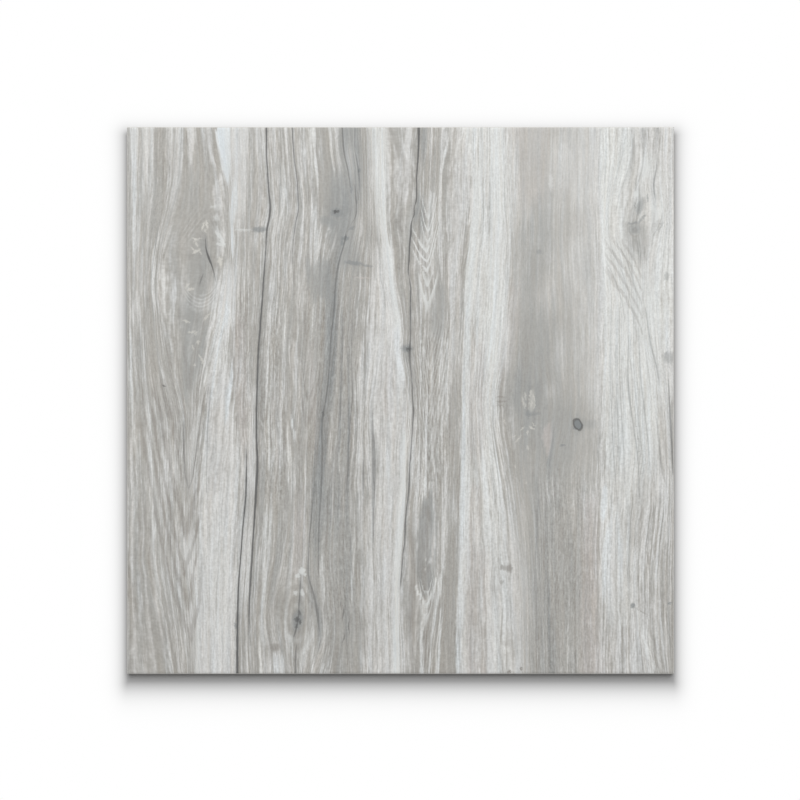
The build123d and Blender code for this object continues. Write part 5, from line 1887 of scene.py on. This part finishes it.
@dataclass
class PorcelainTile:
    """The tile: decorated face with its relief, ground edges with their arrises, and the keyed back.

    Args:
        columns: About how many columns of faces the decorated face has.
        rows: Rows of faces of the decorated face.
        face_bevel: Arris round the face, in millimetres.
        back_bevel: Arris round the back, in millimetres.
        key_pitch: From one pocket of the key to the next, in millimetres.
        rib_width: Flat land between two pockets, in millimetres.
        key_depth: Depth of the pockets, in millimetres.
        key_draft: Lean of the pockets' walls from upright, in degrees.
        key_margin: Least plain band outside the pockets, in millimetres.
        edge_drops: Where the face's rim, the wall's two and the back's lie across the baked map's strip.
        node: Name of the solid that the tile stands for.
    """

    columns: int = 400
    rows: int = 220
    face_bevel: float = 0.6
    back_bevel: float = 0.4
    key_pitch: float = 28.0
    rib_width: float = 4.0
    key_depth: float = 0.7
    key_draft: float = 30.0
    key_margin: float = 16.0
    edge_drops: tuple[float, ...] = (0.0, 0.08, 0.94, 1.0)
    node: str = "tile"

    def __post_init__(self) -> None:
        """Take the tile's size from its solid, in millimetres."""
        low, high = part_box(self.node)
        self.half_width = (high[0] - low[0]) / 2 / MM
        self.half_length = (high[1] - low[1]) / 2 / MM
        self.thickness = (high[2] - low[2]) / MM
        self.layout = BakeLayout()
        self.wood = WoodPrint()

    def key_lines(self, half: float) -> tuple[Array, Array]:
        """Work out the lines of the key along one side.

        Args:
            half: Half the side, in millimetres.

        Returns:
            Place of each line, and 1 on the lines that bound a pocket's floor, else 0.
        """
        room = 2 * half - 2 * self.key_margin + self.rib_width
        count = 2 * math.floor(room / self.key_pitch / 2)
        middles = (np.arange(count) - (count - 1) / 2) * self.key_pitch
        mouth = (self.key_pitch - self.rib_width) / 2
        floor = mouth - self.key_depth * math.tan(math.radians(self.key_draft))
        lines = (middles[:, None] + np.array([-mouth, -floor, floor, mouth])).ravel()
        rim = half - self.back_bevel
        on_floor = np.tile([0.0, 1.0, 1.0, 0.0], count)
        return np.concatenate([[-rim], lines, [rim]]), np.concatenate([[0], on_floor, [0]])

    def build(self) -> bpy.types.Object:
        """Make the mesh, dress it and tie it to the frame.

        Returns:
            The tile's object. Its face is a grid that sinks by the relief; its edges are straight strips
            from the face's rim to the back's; its back rises to the pockets' floors where both ways lie on
            a floor.
        """
        grid = self.wood.lay_out(
            self.half_width - self.face_bevel, self.half_length - self.face_bevel, self.columns, self.rows
        )
        wood, lime, contrast = self.wood.paint(grid)
        marks, groove = self.wood.lines(grid)
        height = self.thickness - self.wood.relief(grid, groove, contrast)
        face = np.stack([grid.x, grid.y, height], axis=-1)

        back_x, floor_x = self.key_lines(self.half_width)
        back_y, floor_y = self.key_lines(self.half_length)
        pocket = np.minimum(floor_y[:, None], floor_x[None, :])
        x, y = np.meshgrid(back_x, back_y)
        back = np.stack([x, y, self.key_depth * pocket], axis=-1)

        parts = MeshParts([], [], [])
        face_rim, back_rim = self.add_sheets(parts, face, back)
        points = np.concatenate([face.reshape(-1, 3), back.reshape(-1, 3)])
        points = self.add_edges(parts, points, face_rim, back_rim)
        tile = self.make_object(points, parts)
        grain = np.stack([grid.across, grid.y, contrast], axis=-1)
        self.store(tile.data, "wood", "FLOAT_COLOR", wood)
        self.store(tile.data, "lime", "FLOAT_COLOR", lime)
        self.store(tile.data, "grain", "FLOAT_VECTOR", grain)
        self.store(tile.data, "marks", "FLOAT_VECTOR", marks)
        self.store(tile.data, "rings", "FLOAT_VECTOR", self.wood.figure(grid))
        self.store(tile.data, "rim", "FLOAT", RING_KNOT.distance(grid)[..., None])
        return tile

    def add_sheets(self, parts: MeshParts, face: Array, back: Array) -> tuple[list[Array], list[Array]]:
        """Add the decorated face and the back.

        Args:
            parts: Where the faces go.
            face: Points of the face, numbered first.
            back: Points of the back, numbered next.

        Returns:
            The four sides of the face's rim and of the back's rim.
        """
        rows, columns = face.shape[:2]
        number = np.arange(rows * columns).reshape(rows, columns)
        around = [number[:-1, :-1], number[:-1, 1:], number[1:, 1:], number[1:, :-1]]
        quads = np.stack(around, axis=-1).reshape(-1, 4)
        flat = face.reshape(-1, 3)
        shares = flat[quads][..., :2] / np.array([self.half_width, self.half_length])
        parts.add(quads, Surface.FACE, self.layout.on_face(shares[..., 0], shares[..., 1]))

        first = rows * columns
        back_rows, back_columns = back.shape[:2]
        number = np.arange(back_rows * back_columns).reshape(back_rows, back_columns)
        around = [number[:-1, :-1], number[1:, :-1], number[1:, 1:], number[:-1, 1:]]
        corners = np.stack(around, axis=-1).reshape(-1, 4)
        flat = back.reshape(-1, 3)
        level = flat[corners][..., 2]
        mitred = np.abs(level[:, 0] - level[:, 2]) < np.abs(level[:, 1] - level[:, 3])
        turned = np.where(mitred[:, None], np.roll(corners, -1, axis=1), corners)
        triangles = np.concatenate([turned[:, [0, 1, 2]], turned[:, [0, 2, 3]]])
        shares = flat[triangles][..., :2] / np.array([self.half_width, self.half_length])
        parts.add(first + triangles, Surface.BACK, self.layout.on_back(shares[..., 0], shares[..., 1]))
        return grid_rim(0, rows, columns), grid_rim(first, back_rows, back_columns)

    def add_edges(
        self, parts: MeshParts, points: Array, face_rim: list[Array], back_rim: list[Array]
    ) -> Array:
        """Add the arrises and the ground walls of the four sides.

        Args:
            parts: Where the faces go.
            points: Points of the face and the back.
            face_rim: The four sides of the face's rim.
            back_rim: The four sides of the back's rim.

        Returns:
            The points with the rings of the walls added: each ring is its rim, scaled out to the full size.
        """
        full = np.array([self.half_width, self.half_length])
        drops = self.edge_drops
        rings = []
        start = len(points)
        for rim, bevel, z in (
            (face_rim, self.face_bevel, self.thickness - self.face_bevel),
            (back_rim, self.back_bevel, self.back_bevel),
        ):
            loop = np.concatenate([side[:-1] for side in rim])
            outer = points[loop][:, :2] * full / (full - bevel)
            points = np.concatenate([points, np.column_stack([outer, np.full(len(loop), z)])])
            number = np.append(start + np.arange(len(loop)), start)
            ends = np.cumsum([0, *(len(side) - 1 for side in rim)])
            rings.append([number[a:b + 1] for a, b in zip(ends, ends[1:])])
            start = len(points)
        for side, (top, upper, lower, bottom) in enumerate(zip(face_rim, *rings, back_rim)):
            axis = side % 2
            reach = 2 * full[axis]
            upper_place = np.abs(points[upper, axis] - points[upper[0], axis]) / reach
            lower_place = np.abs(points[lower, axis] - points[lower[0], axis]) / reach
            for high, low, place, step in ((top, upper, upper_place, 0), (lower, bottom, lower_place, 2)):
                quads = np.stack([high[:-1], low[:-1], low[1:], high[1:]], axis=1)
                along = np.stack([place[:-1], place[:-1], place[1:], place[1:]], axis=1)
                ends = [drops[step], drops[step + 1], drops[step + 1], drops[step]]
                drop = np.broadcast_to(ends, along.shape)
                parts.add(quads, Surface.EDGE, self.layout.on_edge(side, along, drop))
            triangles, along, is_lower = zip_strip(upper, upper_place, lower, lower_place)
            drop = np.where(is_lower, drops[2], drops[1])
            parts.add(triangles, Surface.EDGE, self.layout.on_edge(side, along, drop))
        return points

    def make_object(self, points: Array, parts: MeshParts) -> bpy.types.Object:
        """Put the points and faces into an object and dress it.

        Args:
            points: All points, in millimetres.
            parts: All faces.

        Returns:
            The tile's object, tied to the frame.
        """
        mesh = bpy.data.meshes.new("porcelain_tile")
        mesh.from_pydata((points * MM).tolist(), [], parts.faces)
        mesh.polygons.foreach_set("material_index", parts.surfaces)
        mesh.polygons.foreach_set("use_smooth", np.array(parts.surfaces) == Surface.FACE.value)
        layer = mesh.uv_layers.new(name="OFBake")
        layer.data.foreach_set("uv", np.concatenate(parts.corners).ravel())
        mesh.materials.append(PrintedGlaze().material())
        mesh.materials.append(GroundBody().material(self.thickness * MM))
        mesh.materials.append(PressedBack().material(self.key_depth * MM))
        mesh.update()
        tile = bpy.data.objects.new("porcelain_tile", mesh)
        bpy.context.scene.collection.objects.link(tile)
        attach(tile, "root")
        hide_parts(self.node)
        return tile

    def store(self, mesh: bpy.types.Mesh, name: str, kind: str, values: Array) -> None:
        """Keep values of the face's points as an attribute of the mesh.

        Args:
            mesh: The tile's mesh, whose first points are the face's.
            name: Name of the attribute.
            kind: Its data type.
            values: Values of the face's points; all other points get 0.
        """
        width = values.shape[-1]
        full = np.zeros((len(mesh.vertices), width), np.float32)
        full[: values.size // width] = values.reshape(-1, width)
        key = {"FLOAT": "value", "FLOAT_VECTOR": "vector", "FLOAT_COLOR": "color"}[kind]
        mesh.attributes.new(name, kind, "POINT").data.foreach_set(key, full.ravel())


@dataclass
class Studio:
    """White floor, soft light from above and behind, and a camera that looks straight down.

    Args:
        picture_side: Side of the photograph, in pixels.
        tile_side: Side of the tile in it, in pixels.
        tile_middle: Middle of the tile in it, in pixels from the left and from the top.
        lens: Focal length of the camera, in millimetres.
        sensor: Width of the camera's sensor, in millimetres.
        floor_reach: Half the side of the floor, in metres.
        floor_drop: Depth of the floor below the ribs of the back, in metres.
        open_inset: Distance from the tile's edge to the opening in the floor under it, in metres.
        paper: Share of the light that the floor gives back.
        shadow_fall: How far the painted shadow fade is shifted towards the viewer's side, in metres.
        shadow_reach: Distance from that place at which the painted fade is mostly white, in metres.
        shadow_power: How slowly the painted fade starts, from 1 for at once.
        shadow_stretch: How much slower the painted fade goes on the viewer's side, as a share.
        key_place: Place of the key light, in metres.
        key_size: Sides of the key light, in metres.
        key_power: Power of the key light, in watts.
        sky: Strength of the soft light from all round.
    """

    picture_side: float = 800
    tile_side: float = 547
    tile_middle: Pair = (400.5, 400.5)
    lens: float = 100.0
    sensor: float = 36.0
    floor_reach: float = 6.0
    floor_drop: float = 0.0002
    open_inset: float = 0.001
    paper: float = 0.42
    shadow_fall: float = 0.009
    shadow_reach: float = 0.009
    shadow_power: float = 1.3
    shadow_stretch: float = 0.65
    key_place: Triple = (0.1, 2.0, 3.4)
    key_size: Pair = (4.4, 3.0)
    key_power: float = 150.0
    sky: float = 0.36

    def build(self) -> None:
        """Make the floor, the light, the surroundings and the camera."""
        self.lay_floor()
        self.hang_light()
        self.set_surroundings()
        self.set_camera()
        bpy.context.scene.view_settings.view_transform = "Standard"

    def lay_floor(self) -> None:
        """Lay a grey paper floor, lifted to full white for the camera by a glow away from the tile.

        The glow fades out towards the tile in a painted shadow fade, shifted and stretched towards the
        viewer's side, which sets how far the shadow reaches; the darkness right beside the tile is real
        shadow on the paper.

        Under the tile the floor is open, so that a view from below shows the back.
        """
        reach = self.floor_reach
        corners = np.array([(-1, -1, 0), (1, -1, 0), (1, 1, 0), (-1, 1, 0)]) * reach
        mesh = bpy.data.meshes.new("studio_floor")
        mesh.from_pydata(corners - (0, 0, self.floor_drop), [], [(0, 1, 2, 3)])
        graph = Graph(bpy.data.materials.new("studio_floor"))
        x, y, _ = graph.split(graph.place())
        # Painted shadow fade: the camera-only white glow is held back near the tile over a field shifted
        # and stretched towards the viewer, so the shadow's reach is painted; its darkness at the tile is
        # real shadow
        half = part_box("tile")[1]
        aside = graph.math("MAXIMUM", abs(x) - half[0], 0.0)
        beyond = graph.math("MAXIMUM", abs(y + self.shadow_fall) - half[1], 0.0)
        far = graph.math("GREATER_THAN", y, 0.0)
        beyond = beyond * (self.shadow_stretch + far * (1 - self.shadow_stretch))
        corner = graph.join(aside, beyond, 0.0)
        outside = graph.node("ShaderNodeVectorMath", {"operation": "LENGTH"}, {0: corner}, 1)
        painted_shadow_fade = graph.math("POWER", outside * (1 / self.shadow_reach), self.shadow_power)
        seen = graph.node("ShaderNodeLightPath", {}, {}, "Is Camera Ray")
        paper = graph.node("ShaderNodeBsdfDiffuse", {}, {"Color": (self.paper, self.paper, self.paper, 1)})
        glow = graph.node("ShaderNodeEmission", {}, {"Color": WHITE, "Strength": 1.0})
        # Share of the painted white lift, which leaves a painted fade round the tile's real shadow
        share = seen * (1 - graph.math("EXPONENT", painted_shadow_fade * -1.0, 0.0))
        white = graph.node("ShaderNodeMixShader", {}, {0: share, 1: paper, 2: glow})
        outward = graph.math("MAXIMUM", abs(x) - half[0], abs(y) - half[1])
        under = graph.math("LESS_THAN", outward, -self.open_inset)
        opening = graph.node("ShaderNodeBsdfTransparent", {}, {})
        shader = graph.node("ShaderNodeMixShader", {}, {0: under, 1: white, 2: opening})
        mesh.materials.append(graph.close(shader))
        floor = bpy.data.objects.new("studio_floor", mesh)
        bpy.context.scene.collection.objects.link(floor)

    def hang_light(self) -> None:
        """Hang the soft key light over the far side of the tile, aimed at its middle."""
        lamp = bpy.data.lights.new("key", "AREA")
        lamp.shape = "RECTANGLE"
        lamp.size, lamp.size_y = self.key_size
        lamp.energy = self.key_power
        key = bpy.data.objects.new("key", lamp)
        x, y, z = self.key_place
        key.location = self.key_place
        key.rotation_euler = (-math.atan2(y, z), math.atan2(x, z), 0)
        bpy.context.scene.collection.objects.link(key)

    def set_surroundings(self) -> None:
        """Set a soft white light from all round, seen as white by the camera."""
        graph = Graph(bpy.data.worlds.new("studio"))
        seen = graph.node("ShaderNodeLightPath", {}, {}, "Is Camera Ray")
        level = self.sky + seen * (1 - self.sky)
        light = graph.node("ShaderNodeBackground", {}, {"Color": WHITE, "Strength": level})
        bpy.context.scene.world = graph.close(light, "ShaderNodeOutputWorld")

    def set_camera(self) -> None:
        """Hang the camera so that the tile fills the same pixels as in the photograph."""
        low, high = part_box("tile")
        pixel = (high[0] - low[0]) / self.tile_side
        lens = bpy.data.cameras.new("camera")
        lens.lens = self.lens
        lens.sensor_width = self.sensor
        camera = bpy.data.objects.new("camera", lens)
        distance = pixel * self.picture_side * self.lens / self.sensor
        middle = self.picture_side / 2
        across = (middle - self.tile_middle[0]) * pixel
        along = (self.tile_middle[1] - middle) * pixel
        camera.location = (across, along, high[2] + distance)
        bpy.context.scene.collection.objects.link(camera)
        bpy.context.scene.camera = camera


def main() -> None:
    """Build the tile and the studio, and report them."""
    logging.basicConfig(level=logging.INFO, format="%(name)s: %(message)s")
    tile = PorcelainTile().build()
    LOG.info("porcelain tile: %d points, %d faces", len(tile.data.vertices), len(tile.data.polygons))
    Studio().build()
    LOG.info("studio: floor, key light, surroundings and camera")


if __name__ == "__main__":
    main()
